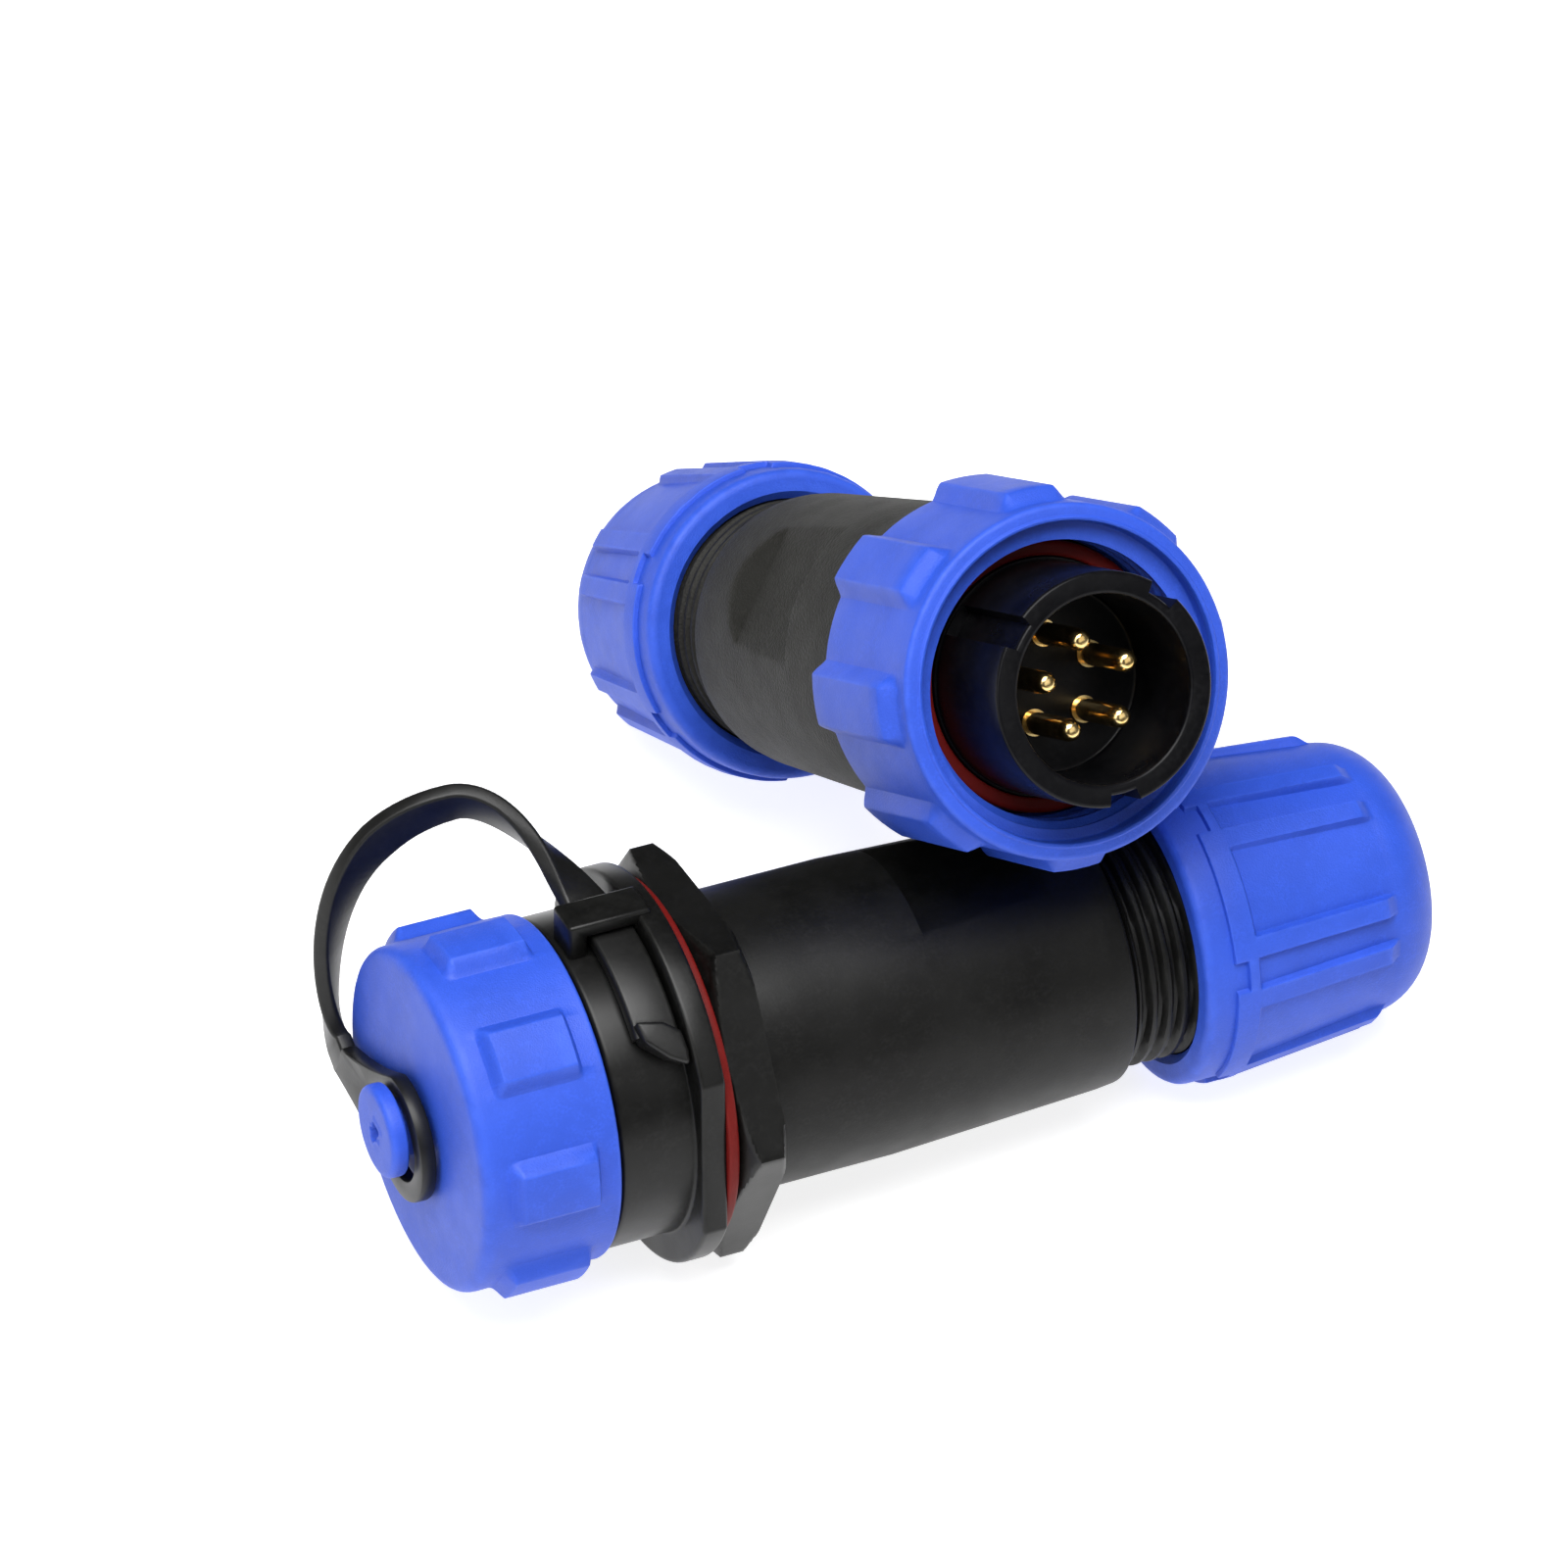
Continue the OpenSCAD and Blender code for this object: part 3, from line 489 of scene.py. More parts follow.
def both(*shapes):
    def shape(r, z, a):
        for one in shapes:
            rr, zz = one(r, z, a)
            if (rr, zz) != (r, z):
                return rr, zz
        return r, z
    return shape


# ---------- receptacle ----------

def make_cap():
    rim, wall = 1.3, 2.0
    bore = COUPLING_R + 0.1
    outline = rounded([(0, 0), (GRIP_R, 0, rim), (GRIP_R, CAP_LENGTH, 0.45),
                       (bore + 0.8, CAP_LENGTH, 0.3), (bore, CAP_LENGTH - 0.8, 0.2),
                       (bore, wall), (0, wall)], arc=6, loop=False)
    z0, z1 = 2.4, CAP_LENGTH - 2.0
    cuts = steps(z0, 0.9) + steps(z1 - 0.7, 0.7)
    profile = refined(outline, 2.5, cuts, r_min=GRIP_R - 0.01, loop=False)
    profile = [(GRIP_R - 0.035 if abs(r - GRIP_R) < 1e-6 and z > CAP_LENGTH - 1 else r, z)
               for r, z in profile]
    turned("dust_cap", profile, RECEP, "cap_body", blue,
           lobe_angles(CAP_ROLL), lobe_shape(CAP_ROLL, z0, 0.9, z1, 0.7), ["cap"], loop=False)
    head, stem, front = 4.2, 2.6, -3.9
    stud = rounded([(0, front + 0.75), (0.55, front + 0.7, 0.2), (0.95, front - 0.12, 0.25),
                    (1.5, front + 0.02, 0.2), (head, front, 0.7), (head, front + 1.6, 0.35),
                    (stem, front + 1.6, 0.2), (stem, -0.25, 0.25), (stem + 0.35, 0.02), (0, 0.05)],
                   arc=5, loop=False)

    def gate(r, z, a):
        if r > 1.7 or z > front + 0.9:
            return r, z
        t = math.radians(a)
        return r * (1 + 0.28 * math.sin(2 * t + 0.6) + 0.16 * math.sin(5 * t)), z
    turned("dust_cap_stud", stud, RECEP, "cap_body", blue,
           angles_round(6), gate, loop=False)


make_cap()


def make_receptacle():
    bore, barrel = CAVITY_R, BARREL_FRONT
    tail = RECEP_SHELL_REAR
    coupling_root = COUPLING_R - COUPLING_DEPTH
    corners = [(bore, barrel, 0.3), (coupling_root, barrel, 0.3), (COUPLING_R, barrel + 0.8),
               (COUPLING_R, NECK_FRONT - 0.6), (coupling_root, NECK_FRONT),
               (NECK_R, NECK_FRONT, 0.5), (NECK_R, FLANGE_FRONT, 0.35),
               (FLANGE_R, FLANGE_FRONT, 0.45), (FLANGE_R, FLANGE_REAR, 0.3),
               (PANEL_THREAD_R - PANEL_THREAD_DEPTH, FLANGE_REAR, 0.1),
               (PANEL_THREAD_R, FLANGE_REAR + 0.6), (PANEL_THREAD_R, tail - 0.6),
               (PANEL_THREAD_R - 0.7, tail, 0.2), (bore, tail, 0.2)]
    cuts = thread_rows(barrel + 0.8, NECK_FRONT - 0.6, COUPLING_PITCH) \
        + thread_rows(FLANGE_REAR + 0.6, tail - 0.6, PANEL_PITCH, 8)
    profile = refined(rounded(corners), 4, cuts, r_min=11.9)
    front = external_thread(COUPLING_R, COUPLING_DEPTH, COUPLING_PITCH, barrel + 0.8,
                            NECK_FRONT - 0.6)
    rear = external_thread(PANEL_THREAD_R, PANEL_THREAD_DEPTH, PANEL_PITCH, FLANGE_REAR + 0.6,
                           tail - 0.6)

    def flats(r, z, a):
        if r < FLANGE_FLAT - 0.6 or not FLANGE_FRONT - 0.1 < z < FLANGE_REAR + 0.1:
            return r, z
        d = math.radians(from_centre(a, FLANGE_ROLL, 180))
        inset = FLANGE_R - r
        limit = (FLANGE_FLAT - inset) / math.cos(d) if abs(d) < 1.4 else 1e9
        return min(r, limit), z
    edge = math.degrees(math.acos(FLANGE_FLAT / FLANGE_R))
    angles = angles_round(3, [FLANGE_ROLL, FLANGE_ROLL + 180],
                          mirrored([0, edge - 1.5, edge - 0.5, edge, edge + 1.2]))
    turned("receptacle_housing", profile, RECEP, "receptacle", satin,
           angles, both(front, rear, flats), ["recep_shell"])


make_receptacle()


def make_key_ribs():
    """The three keys in the receptacle's cavity."""
    inner_r, outer_r, key_front, key_rear = 9.55, 10.6, 3.7, 16.6
    for i, roll in enumerate((180 - KEY_SPREAD, 180 + KEY_SPREAD, 0)):
        half = (KEY_ANGLE - 3) / 2
        arc = fan(roll - half, roll + half, 4)
        rows = []
        for r in (inner_r, outer_r):
            for z in (key_front, key_rear):
                rows.append([(r * math.cos(math.radians(a)), r * math.sin(math.radians(a)), z)
                             for a in arc])
        verts = [p for row in rows for p in row]
        n = len(arc)
        inner0, inner1, outer0, outer1 = (list(range(k * n, (k + 1) * n)) for k in range(4))
        faces = []
        for one, two in ((inner0, inner1), (inner1, outer1), (outer1, outer0), (outer0, inner0)):
            faces += [(one[k], one[k + 1], two[k + 1], two[k]) for k in range(n - 1)]
        faces.append((inner0[0], inner1[0], outer1[0], outer0[0]))
        faces.append((inner0[-1], outer0[-1], outer1[-1], inner1[-1]))
        finish_mesh(f"receptacle_key_{i + 1}", verts, faces, RECEP, "receptacle",
                    insert_black_painted_shade)


make_key_ribs()


def make_panel_gasket():
    hole, rim = PANEL_THREAD_R + 0.1, FLANGE_R - 1.1
    profile = rounded([(hole, FLANGE_REAR, 0.2), (rim, FLANGE_REAR, 0.3),
                       (rim, PANEL_NUT_FRONT, 0.3), (hole, PANEL_NUT_FRONT, 0.2)])
    turned("panel_gasket", profile, RECEP, "receptacle", red,
           angles_round(3), nodes=["recep_flange_gasket"])


make_panel_gasket()


def make_panel_nut():
    corner = PANEL_NUT_AF / 2 / math.cos(math.radians(30))
    z0, z1 = PANEL_NUT_FRONT, PANEL_NUT_FRONT + PANEL_NUT_T
    bore = PANEL_THREAD_R + 0.1
    corners = [(bore, z0 + 0.6), (bore + 0.6, z0), (PANEL_NUT_AF / 2 - 0.2, z0),
               (corner, z0 + 1.2), (corner, z1 - 0.7), (corner - 1.3, z1),
               (bore + 0.6, z1), (bore, z1 - 0.6)]
    profile = refined(rounded(corners), 0.35)

    def hexagon(r, z, a):
        if r < PANEL_NUT_AF / 2 - 2:
            return r, z
        d = math.radians(from_centre(a, HEX_ROLL + 30, 60))
        limit = PANEL_NUT_AF / 2 / math.cos(d)
        k = 0.25
        gap = max(0.0, k - abs(limit - r)) / k
        return min(limit, r) - gap * gap * k * 0.25, z
    angles = angles_round(3, [HEX_ROLL + 60 * k for k in range(6)],
                          mirrored([0, 0.6, 1.4, 2.6]))
    turned("panel_nut_hex", profile, RECEP, "panel_nut", satin, angles,
           hexagon, ["recep_panel_nut"], sharp=28)


make_panel_nut()


def shell_shape(roll, flat_front, thread, length=12.0, ramp=7.5):
    """Two wrench flats with a ramp at the cable end, and the clamp thread behind."""
    def shape(r, z, a):
        moved = thread(r, z, a)
        if moved != (r, z):
            return moved
        if r < WRENCH_FLAT or z < flat_front or z > flat_front + length + ramp:
            return r, z
        plane = WRENCH_FLAT + max(0.0, z - flat_front - length) * (SHELL_R + 1 - WRENCH_FLAT) / ramp
        d = math.radians(from_centre(a, roll, 180))
        if abs(d) > 1.2:
            return r, z
        return min(r, plane / math.cos(d)), z
    return shape


def flat_angles(roll):
    return angles_round(3, [roll, roll + 180], mirrored([0] + fan(14, 36, 16)))


def make_back_shell():
    end = RECEP_NUT + CLAMP_THREAD_END
    bore = CLAMP_BORE_R
    start = BACK_REAR - 22
    flat_front = BACK_REAR - 18.5
    corners = [(BACK_BORE_R, BACK_FRONT, 0.2), (SHELL_R, BACK_FRONT, 0.45), (SHELL_R, start),
               (SHELL_END_R + 0.2, BACK_REAR - 2), (SHELL_END_R, BACK_REAR, 0.4),
               (CLAMP_R - CLAMP_DEPTH, BACK_REAR, 0.1), (CLAMP_R, BACK_REAR + 0.3),
               (CLAMP_R, end - 0.3), (CLAMP_R - CLAMP_DEPTH, end, 0.1), (bore, end, 0.2),
               (bore, BACK_BORE_END), (BACK_BORE_R, BACK_BORE_END)]
    cuts = [flat_front, flat_front + 0.04] + fan(flat_front + 0.5, flat_front + 19.7, 26) \
        + thread_rows(BACK_REAR + 0.3, end - 0.3, CLAMP_PITCH)
    profile = refined(rounded(corners), 5, cuts, r_min=11.3)
    thread = external_thread(CLAMP_R, CLAMP_DEPTH, CLAMP_PITCH, BACK_REAR + 0.3, end - 0.3, 0.3)
    turned("back_shell", profile, RECEP, "receptacle", black,
           flat_angles(BACK_FLAT_ROLL), shell_shape(BACK_FLAT_ROLL, flat_front + 0.02, thread),
           ["recep_back_shell"])


make_back_shell()


# ---------- clamp nuts ----------

RIB_OFFSET, RIB_HALF, RIB_SIDE = 9.8, 4.2, 1.0
BAND_FRONT, BAND_REAR, RIB_END, RIB_END_R = 2.7, 4.9, 19.8, 13.35
RIM_R, BODY_FRONT_R = 14.2, 14.05


def make_clamp_nut(name, where, front, roll, body, node):
    hole, thread_r = NUT_HOLE_R, CLAMP_R + 0.1
    dome = [(NUT_END_R - NUT_DOME + NUT_DOME * math.cos(math.radians(a)),
             NUT_LENGTH - NUT_DOME + NUT_DOME * math.sin(math.radians(a)))
            for a in range(0, 91, 6)]
    corners = [(thread_r, 0.7), (thread_r + 0.7, 0), (RIM_R, 0, 0.9), (RIM_R, BAND_FRONT),
               (NUT_R, BAND_FRONT + 0.05, 0.15), (NUT_R, BAND_REAR, 0.1),
               (BODY_FRONT_R, BAND_REAR + 0.35)]
    outline = rounded(corners, loop=False) + dome[:-1] + rounded(
        [(NUT_END_R - NUT_DOME, NUT_LENGTH), (hole, NUT_LENGTH, 0.5), (hole, NUT_FLOOR),
         (NUT_BORE_R, NUT_FLOOR), (NUT_BORE_R, NUT_THREAD_END), (thread_r, NUT_THREAD_END),
         (thread_r, 6)], loop=False)
    cuts = [3.9, 4.0] + fan(5.6, 17.6, 6) + steps(RIB_END - 1.4, 1.4) \
        + steps(BAND_REAR, 0.35)
    profile = refined(outline, 2.5, cuts, r_min=12.3)

    def ribs(r, z, a):
        if r < NUT_END_R - 0.3 or z > RIB_END + 0.5:
            return r, z
        d = abs(from_centre(a, roll, 60))
        if z <= BAND_REAR - 0.1:
            notch = soft((RIB_OFFSET - RIB_HALF + 0.3 - d) / 0.8)
            if BAND_FRONT < z < 3.95 and r > RIM_R:
                return r - (r - RIM_R) * notch, z
            return r, z
        across = soft((RIB_HALF + RIB_SIDE / 2 - abs(d - RIB_OFFSET)) / RIB_SIDE)
        along = soft((RIB_END - z) / 1.4)
        k = (z - BAND_REAR) / (RIB_END - BAND_REAR)
        top = NUT_R + (RIB_END_R - NUT_R) * k
        return max(r, r + (top - r) * across * along), z
    offsets = mirrored([0, 2.5, 4.6, 5.0, 5.4, 5.8, 6.2, 7.5, 9.8, 12, 13.5, 13.9, 14.3, 14.7,
                        15.1, 16, 20, 25])
    angles = angles_round(6, [roll + 60 * k for k in range(6)], offsets)
    turned(name, profile, where @ Matrix.Translation((0, 0, front)), body,
           blue, angles, ribs, [node], sharp=30)


make_clamp_nut("receptacle_clamp_nut", RECEP, RECEP_NUT, RECEP_NUT_ROLL, "recep_nut",
               "recep_clamp_nut")
make_clamp_nut("plug_clamp_nut_shell", PLUG, PLUG_NUT, PLUG_NUT_ROLL, "plug_nut",
               "plug_clamp_nut")


# ---------- plug ----------

def make_plug_shell():
    seat, shoulder = PLUG_SEAT, RING_LENGTH + 0.3
    wall = COUPLING_R - 0.2
    groove = wall - CLIP_GROOVE_DEPTH
    end = PLUG_NUT + CLAMP_THREAD_END
    bore, bore_step = CLAMP_BORE_R, 26
    start = PLUG_SHELL_REAR - 23
    flat_front = PLUG_SHELL_REAR - 22.4
    corners = [(SEAT_BORE_R, seat), (wall, seat, 0.2), (wall, CLIP_GROOVE_FRONT),
               (groove, CLIP_GROOVE_FRONT), (groove, CLIP_GROOVE_REAR),
               (wall, CLIP_GROOVE_REAR), (wall, shoulder), (SHELL_R, shoulder, 0.6),
               (SHELL_R, start), (SHELL_END_R + 0.2, PLUG_SHELL_REAR - 2),
               (SHELL_END_R, PLUG_SHELL_REAR, 0.4), (CLAMP_R - CLAMP_DEPTH, PLUG_SHELL_REAR, 0.1),
               (CLAMP_R, PLUG_SHELL_REAR + 0.3), (CLAMP_R, end - 0.3),
               (CLAMP_R - CLAMP_DEPTH, end, 0.1), (bore, end, 0.2), (bore, bore_step),
               (SEAT_BORE_R, bore_step)]
    cuts = [flat_front, flat_front + 0.04] + fan(flat_front + 0.5, flat_front + 19.7, 26) \
        + thread_rows(PLUG_SHELL_REAR + 0.3, end - 0.3, CLAMP_PITCH)
    profile = refined(rounded(corners), 5, cuts, r_min=11.3)
    thread = external_thread(CLAMP_R, CLAMP_DEPTH, CLAMP_PITCH, PLUG_SHELL_REAR + 0.3,
                             end - 0.3, 0.3)
    turned("plug_body", profile, PLUG, "plug", plug_grey,
           flat_angles(PLUG_FLAT_ROLL), shell_shape(PLUG_FLAT_ROLL, flat_front + 0.02, thread),
           ["plug_shell"])


make_plug_shell()


def make_coupling_ring():
    web, web_front, thread_end = 12.0, 12.1, 9.0
    bore = COUPLING_R + 0.1
    root = MOUTH_R - 0.6
    corners = [(bore + 0.7, 1.8), (MOUTH_R - 0.1, 1.8, 0.2), (MOUTH_R - 0.1, 0.45, 0.1),
               (MOUTH_R, 0.08, 0.12), (MOUTH_R + 0.28, 0.0, 0.15), (MOUTH_R + 0.42, 0.22, 0.12),
               (GRIP_R, 0.35, 0.9), (GRIP_R, RING_LENGTH, 0.35),
               (web, RING_LENGTH, 0.3), (web, web_front), (root, web_front),
               (root, thread_end), (bore + 0.7, thread_end)]
    cuts = steps(2.0, 1.5)
    profile = refined(rounded(corners, arc=5), 2.6, cuts, r_min=GRIP_R - 0.01)
    # the thread's stations stay only on the bore
    rows = refined(profile, 99, thread_rows(1.9, 8.9, COUPLING_PITCH))
    keep = [p for p in rows if p in profile or abs(p[0] - bore - 0.7) < 1e-4]
    grip = lobe_shape(RING_ROLL, 2.0, 1.5, 99, 0)
    thread = internal_thread(bore + 0.7, bore, COUPLING_PITCH, 1.85, 8.95)
    turned("coupling_ring", keep, PLUG, "ring", blue, lobe_angles(RING_ROLL),
           both(thread, grip), ["plug_coupling_ring"])


make_coupling_ring()


def make_shroud():
    front = -SHROUD_OUT
    keys_end = SHROUD_STEP - 0.25
    corners = [(0, CARRIER_REAR), (INSERT_R, CARRIER_REAR), (INSERT_R, SHROUD_STEP),
               (SHROUD_R, SHROUD_STEP), (SHROUD_R, front, 0.35), (SHROUD_BORE_R, front, 0.4),
               (SHROUD_BORE_R, CARRIER_FRONT, 0.3), (0, CARRIER_FRONT)]
    profile = refined(rounded(corners, loop=False), 3, [keys_end, keys_end + 0.05], r_min=8.5,
                      loop=False)
    centres = [KEY_ROLL - KEY_SPREAD, KEY_ROLL + KEY_SPREAD, KEY_ROLL + 180]
    half = KEY_ANGLE / 2

    def keyways(r, z, a):
        if r < SHROUD_R - 0.45 or z > keys_end + 0.02:
            return r, z
        d = min(abs((a - c + 180) % 360 - 180) for c in centres)
        return r - KEY_DEPTH * max(0, min(1, (half + 0.35 - d) / 0.7)), z
    offsets = mirrored([0, 4, half - 1, half - 0.35, half - 0.1, half + 0.1, half + 0.35,
                        half + 1])
    turned("plug_shroud", profile, PLUG, "plug", insert_black_painted_shade,
           angles_round(3, centres, offsets), keyways, ["plug_insert"], loop=False, sharp=30)


make_shroud()


def make_pins():
    step = PIN_SHOULDER - PIN_FRONT
    profile = [(0, 0), (0.38, 0.0), (0.62, 0.1), (0.84, 0.36), (0.96, 0.75), (PIN_R, 1.2),
               (PIN_R, step), (PIN_SHANK_R, step), (PIN_SHANK_R, PIN_LENGTH - 0.3),
               (PIN_SHANK_R - 0.3, PIN_LENGTH), (0, PIN_LENGTH)]
    for i in range(5):
        spot = math.radians(KEY_ROLL + 72 * i)
        where = PLUG @ Matrix.Translation((CONTACT_R * math.cos(spot), CONTACT_R * math.sin(spot),
                                           PIN_FRONT))
        turned(f"gold_pin_{i + 1}", profile, where, "plug", gold,
               angles_round(11.25), nodes=[f"plug_pin_{i + 1}"], loop=False)


make_pins()


def make_face_gasket():
    front, rim = 5.5, COUPLING_R - 0.2
    profile = rounded([(SEAT_BORE_R, front, 0.3), (rim, front, 0.55), (rim, PLUG_SEAT, 0.3),
                       (SEAT_BORE_R, PLUG_SEAT, 0.2)])
    turned("face_gasket", profile, PLUG, "plug", red, angles_round(3),
           nodes=["plug_face_gasket"])


make_face_gasket()


# ---------- strap ----------
# Points are (along the axis, towards the near side, up), from the middle of the cap's face

STRAP_W, STRAP_T = 4.0, 1.5
EYE_FRONT, EYE_DROP, EYE_RING_R, EYE_REACH = -1.9, 1.2, 5.9, 14.6
EYE_NECK = Vector((EYE_FRONT + STRAP_T / 2, -EYE_REACH, -2.5))
EYE_LEAN = math.radians(27)
EYE_HEADING = Vector((0, -math.cos(EYE_LEAN), math.sin(EYE_LEAN)))
STRAP_TOP = Vector((9.3, -15.7, 21))
ENTRY_ANGLE, TAIL_ANGLE = 105.5, 51
SEAT_R = NECK_R + 0.15 + STRAP_T / 2
SEAT_S = FLANGE_FRONT - 0.2 - STRAP_W / 2


def on_neck(degrees, radius=SEAT_R):
    t = math.radians(degrees)
    return Vector((SEAT_S, radius * math.cos(t), radius * math.sin(t)))


def bezier(c, u):
    return (1 - u) ** 3 * c[0] + 3 * (1 - u) ** 2 * u * c[1] + 3 * (1 - u) * u * u * c[2] \
        + u ** 3 * c[3]


def strap_line():
    """Centre points and outward face directions from the eyelet's neck to the tail's end."""
    entry = math.radians(ENTRY_ANGLE)
    seat = on_neck(ENTRY_ANGLE)
    rise = [EYE_NECK, EYE_NECK + 4.4 * EYE_HEADING, Vector((-3.4, -18.3, 18.7)), STRAP_TOP]
    fall = [STRAP_TOP, Vector((14.5, -14.6, 21.9)),
            seat - 3.4 * Vector((0, math.sin(entry), -math.cos(entry))), seat]
    count, lead, tail = 34, 3, 18
    tail_angles = fan(ENTRY_ANGLE, TAIL_ANGLE, tail)
    points = [EYE_NECK - (1.8 - 0.6 * k) * EYE_HEADING for k in range(lead)]
    points += [bezier(rise, k / count) for k in range(count)]
    points += [bezier(fall, k / count) for k in range(count)]
    points += [on_neck(a) for a in tail_angles]
    faces = []
    whole = 2 * count
    for i in range(len(points)):
        u = (i - lead) / whole
        if u <= 0:
            out = Vector((-1, 0, 0))
        elif u < 0.4:
            w = math.radians(90 * u / 0.4)
            out = Vector((-math.cos(w), -math.sin(w), 0))
        elif u < 1:
            k = (u - 0.4) / 0.6
            w = math.radians(90 * k)
            out = Vector((0.25 * math.sin(math.pi * k), -math.cos(w), math.sin(w)))
        else:
            t = math.radians(tail_angles[min(tail, i - lead - whole)])
            out = Vector((0, math.cos(t), math.sin(t)))
        faces.append(out)
    return points, faces


def to_turned(p):
    return (-p[2], -p[1], p[0])


def strap_section(width, thick, bevel=0.35):
    """Rounded rectangle as (across, out) points."""
    w, t = width / 2, thick / 2
    points = []
    for sx, sy in ((1, 1), (-1, 1), (-1, -1), (1, -1)):
        centre = (sx * (w - bevel), sy * (t - bevel))
        start = {(1, 1): 0, (-1, 1): 90, (-1, -1): 180, (1, -1): 270}[(sx, sy)]
        for k in range(4):
            a = math.radians(start + 30 * k)
            points.append((centre[0] + bevel * math.cos(a), centre[1] + bevel * math.sin(a)))
    return points


def ribbon_mesh():
    points, outs = strap_line()
    verts, faces = [], []
    section = strap_section(STRAP_W, STRAP_T)
    n = len(section)
    for i, p in enumerate(points):
        heading = (points[min(i + 1, len(points) - 1)] - points[max(i - 1, 0)]).normalized()
        out = (outs[i] - outs[i].dot(heading) * heading).normalized()
        across = heading.cross(out)
        for x, y in section:
            verts.append(to_turned(p + across * x + out * y))
    for i in range(len(points) - 1):
        for j in range(n):
            k = (j + 1) % n
            faces.append((i * n + j, i * n + k, (i + 1) * n + k, (i + 1) * n + j))
    last = (len(points) - 1) * n
    faces.append(tuple(range(n)))
    faces.append(tuple(last + k for k in range(n)))
    return verts, faces


def plate_mesh(outer, inner, z0, z1, bevel=0.3):
    """A plate between an outer and an inner outline with as many points each."""
    n = len(outer)
    verts = []

    def inset(outline, amount):
        centre = Vector((sum(p[0] for p in outline) / n, sum(p[1] for p in outline) / n))
        return [Vector(p) - (Vector(p) - centre).normalized() * amount for p in outline]
    rings = []
    for outline, sign in ((outer, 1), (inner, -1)):
        levels = [(z0, bevel), (z0 + bevel * 0.3, bevel * 0.3), (z0 + bevel, 0),
                  (z1 - bevel, 0), (z1 - bevel * 0.3, bevel * 0.3), (z1, bevel)]
        if sign < 0:
            levels.reverse()
        for z, amount in levels:
            ring = []
            for p in inset(outline, sign * amount):
                ring.append(len(verts))
                verts.append((p[0], p[1], z))
            rings.append(ring)
    faces = []
    for i in range(len(rings)):
        a, b = rings[i], rings[(i + 1) % len(rings)]
        faces += [(a[j], a[(j + 1) % n], b[(j + 1) % n], b[j]) for j in range(n)]
    return verts, faces


def eye_plate():
    """Teardrop eyelet with a round hole that opens into a slot towards the ribbon."""
    neck_x = -EYE_NECK[2]
    outer, inner = [], []
    arc = fan(165, 375, 42)
    for a in arc:
        t = math.radians(a)
        outer.append((EYE_DROP + EYE_RING_R * math.cos(t), EYE_RING_R * math.sin(t)))
    inner_arc = fan(130, 410, 42)
    hole = 3.95
    for a in inner_arc:
        t = math.radians(a)
        inner.append((EYE_DROP + hole * math.cos(t), hole * math.sin(t)))
    side = 10
    along = Vector((-EYE_HEADING[2], -EYE_HEADING[1]))
    end = Vector((neck_x, EYE_REACH)) - 1.2 * along
    half = STRAP_W / 2 * Vector((along[1], -along[0]))
    a0, a1, b0, b1 = Vector(outer[-1]), end + half, end - half, Vector(outer[0])
    for k in range(1, side):
        t = k / side
        bow = 0.5 * math.sin(math.pi * t)
        outer.append(tuple(a0.lerp(a1, t) + Vector((-bow, 0))))
    outer += [tuple(a1), tuple(a1.lerp(b0, 0.5)), tuple(b0)]
    for k in range(1, side):
        t = k / side
        bow = 0.5 * math.sin(math.pi * t)
        outer.append(tuple(b0.lerp(b1, t) + Vector((bow, 0))))
    extra = len(outer) - len(inner)
    start, end = Vector(inner[-1]), Vector(inner[0])
    for k in range(1, extra + 1):
        t = k / (extra + 1)
        rise = 3.4 * math.sin(math.pi * t) ** 0.6
        inner.append(tuple(start.lerp(end, t) + Vector((0, rise))))
    return plate_mesh(outer, inner, EYE_FRONT, EYE_FRONT + STRAP_T)


def barb_mesh():
    """The tail's slanted end, wider and higher than the strap, as (roll, station) corners."""
    outline = [(214.5, 15.9), (216.3, 18.3), (220, 19.7), (226, 19.85), (230.3, 19.7),
               (227, 18.0), (221, 16.2)]
    verts = []
    for r in (NECK_R + 0.1, 17.6):
        for roll, station in outline:
            t = math.radians(roll)
            verts.append((r * math.cos(t), r * math.sin(t), station))
    n = len(outline)
    faces = [tuple(range(n)), tuple(range(n, 2 * n))]
    faces += [(k, (k + 1) % n, n + (k + 1) % n, n + k) for k in range(n)]
    return verts, faces


def raw_object(name, data, where):
    verts, faces = data
    mesh = bpy.data.meshes.new(name)
    mesh.from_pydata([where @ Vector(v) for v in verts], [], faces)
    bm = bmesh.new()
    bm.from_mesh(mesh)
    bmesh.ops.recalc_face_normals(bm, faces=bm.faces)
    bm.to_mesh(mesh)
    bm.free()
    obj = bpy.data.objects.new(name, mesh)
    scene.collection.objects.link(obj)
    return obj


def apply_modifiers(obj):
    depsgraph = bpy.context.evaluated_depsgraph_get()
    mesh = bpy.data.meshes.new_from_object(obj.evaluated_get(depsgraph))
    obj.modifiers.clear()
    obj.data = mesh


def joined(name, parts, body, material, nodes, sharp=35):
    """One closed mesh from overlapping closed parts."""
    whole = parts[0]
    for other in parts[1:]:
        cut = whole.modifiers.new("join", "BOOLEAN")
        cut.operation = "UNION"
        cut.solver = "EXACT"
        cut.object = other
        apply_modifiers(whole)
        bpy.data.objects.remove(other)
    mesh = whole.data
    verts = [tuple(v.co) for v in mesh.vertices]
    faces = [tuple(p.vertices) for p in mesh.polygons]
    bpy.data.objects.remove(whole)
    return finish_mesh(name, verts, faces, Matrix.Identity(4), body, material, sharp, nodes)


def bevelled(obj, width):
    bevel = obj.modifiers.new("bevel", "BEVEL")
    bevel.width = width * MM
    bevel.segments = 3
    bevel.limit_method = "ANGLE"
    apply_modifiers(obj)
    return obj


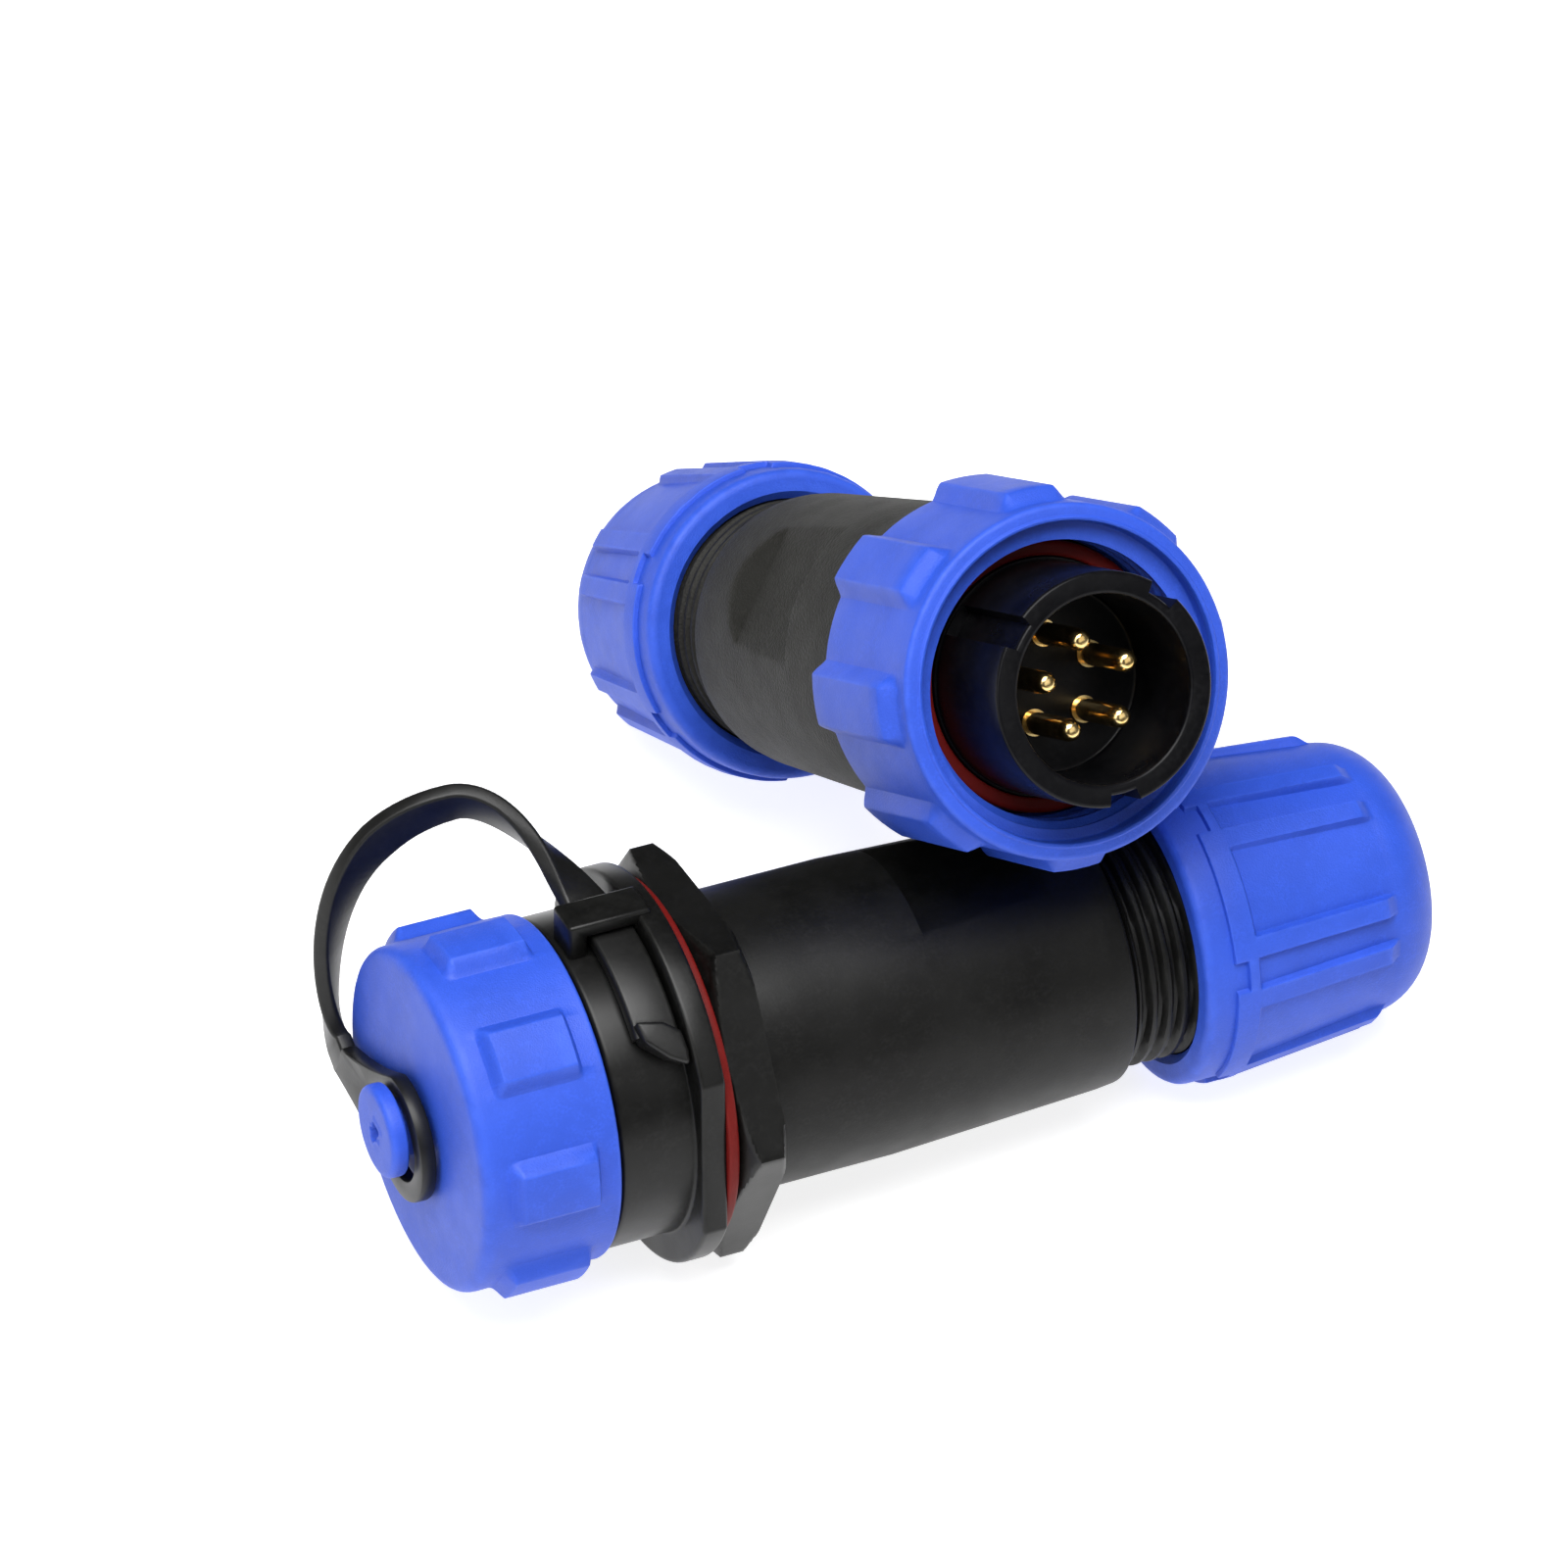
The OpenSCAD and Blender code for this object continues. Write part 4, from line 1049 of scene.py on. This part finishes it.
def make_strap():
    barb = bevelled(raw_object("strap_c", barb_mesh(), RECEP), 0.4)
    parts = [raw_object("strap_a", ribbon_mesh(), RECEP), raw_object("strap_b", eye_plate(), RECEP),
             barb]
    strap = joined("strap_band", parts, None, strap_black,
                   ["strap_eye", "strap_ribbon", "strap_tail"])
    start = RECEP @ Vector(to_turned(Vector((14, -6, 18))))
    end = RECEP @ Vector(to_turned(EYE_NECK + Vector((0, -2, 2))))
    return strap, start, end


strap, blend_from, blend_to = make_strap()
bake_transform(strap)


def make_bridge():
    """Bar over the strap, with a post at its front, grown out of the flange."""
    bar_w, bar_t, low = 3.8, 1.4, SEAT_R + STRAP_T / 2 + 0.2
    front = NECK_FRONT + 0.5
    roll = math.radians(BRIDGE_ROLL)
    centre = Matrix.Rotation(roll, 4, "Z")
    outline = [(NECK_R - 0.6, front), (low + bar_t, front), (low + bar_t, FLANGE_FRONT + 1.3),
               (low - 0.8, FLANGE_FRONT + 1.3), (low - 0.8, FLANGE_FRONT - 0.2),
               (low, FLANGE_FRONT - 0.2), (low, front + 1.7), (NECK_R - 0.6, front + 1.7)]
    verts, faces = [], []
    n = len(outline)
    for side in (-1, 1):
        for r, z in outline:
            verts.append(tuple(centre @ Vector((r, side * bar_w / 2, z))))
    faces.append(tuple(range(n)))
    faces.append(tuple(range(n, 2 * n)))
    faces += [(k, (k + 1) % n, n + (k + 1) % n, n + k) for k in range(n)]
    bar = bevelled(raw_object("bridge", (verts, faces), RECEP), 0.35)
    joined("strap_bridge", [bar], "receptacle", satin,
           ["recep_shell"])


make_bridge()


# ---------- studio ----------

def make_floor():
    mesh = bpy.data.meshes.new("floor")
    size = 3.0
    mesh.from_pydata([(-size, -size, 0), (size, -size, 0), (size, size, 0), (-size, size, 0)], [],
                     [(0, 1, 2, 3)])
    material, _, _, bsdf = new_material("floor_white")
    bsdf.inputs["Base Color"].default_value = (0.55, 0.55, 0.55, 1)
    bsdf.inputs["Emission Color"].default_value = (1, 1, 1, 1)
    bsdf.inputs["Emission Strength"].default_value = 0.82
    bsdf.inputs["Roughness"].default_value = 0.85
    bsdf.inputs["Specular IOR Level"].default_value = 0.1
    mesh.materials.append(material)
    floor = bpy.data.objects.new("floor", mesh)
    floor.location.z = -0.00005
    scene.collection.objects.link(floor)


def make_lamp(name, where, size, power, target=(0, 0, 0.02)):
    data = bpy.data.lights.new(name, "AREA")
    data.shape = "RECTANGLE"
    data.size, data.size_y = size
    data.energy = power
    lamp = bpy.data.objects.new(name, data)
    lamp.location = where
    lamp.rotation_euler = (Vector(target) - Vector(where)).to_track_quat("-Z", "Y").to_euler()
    scene.collection.objects.link(lamp)


make_floor()
make_lamp("lamp_top", (-0.1, -0.25, 1.0), (0.9, 0.7), 20)
make_lamp("lamp_left", (-0.8, -0.3, 0.55), (0.6, 0.6), 2.5)
make_lamp("lamp_front", (0.35, -1.0, 0.6), (0.8, 0.5), 1.2)

world = bpy.data.worlds.new("world")
world.use_nodes = True
world.node_tree.nodes["Background"].inputs["Color"].default_value = (1, 1, 1, 1)
world.node_tree.nodes["Background"].inputs["Strength"].default_value = 0.08
scene.world = world
scene.view_settings.view_transform = "Standard"
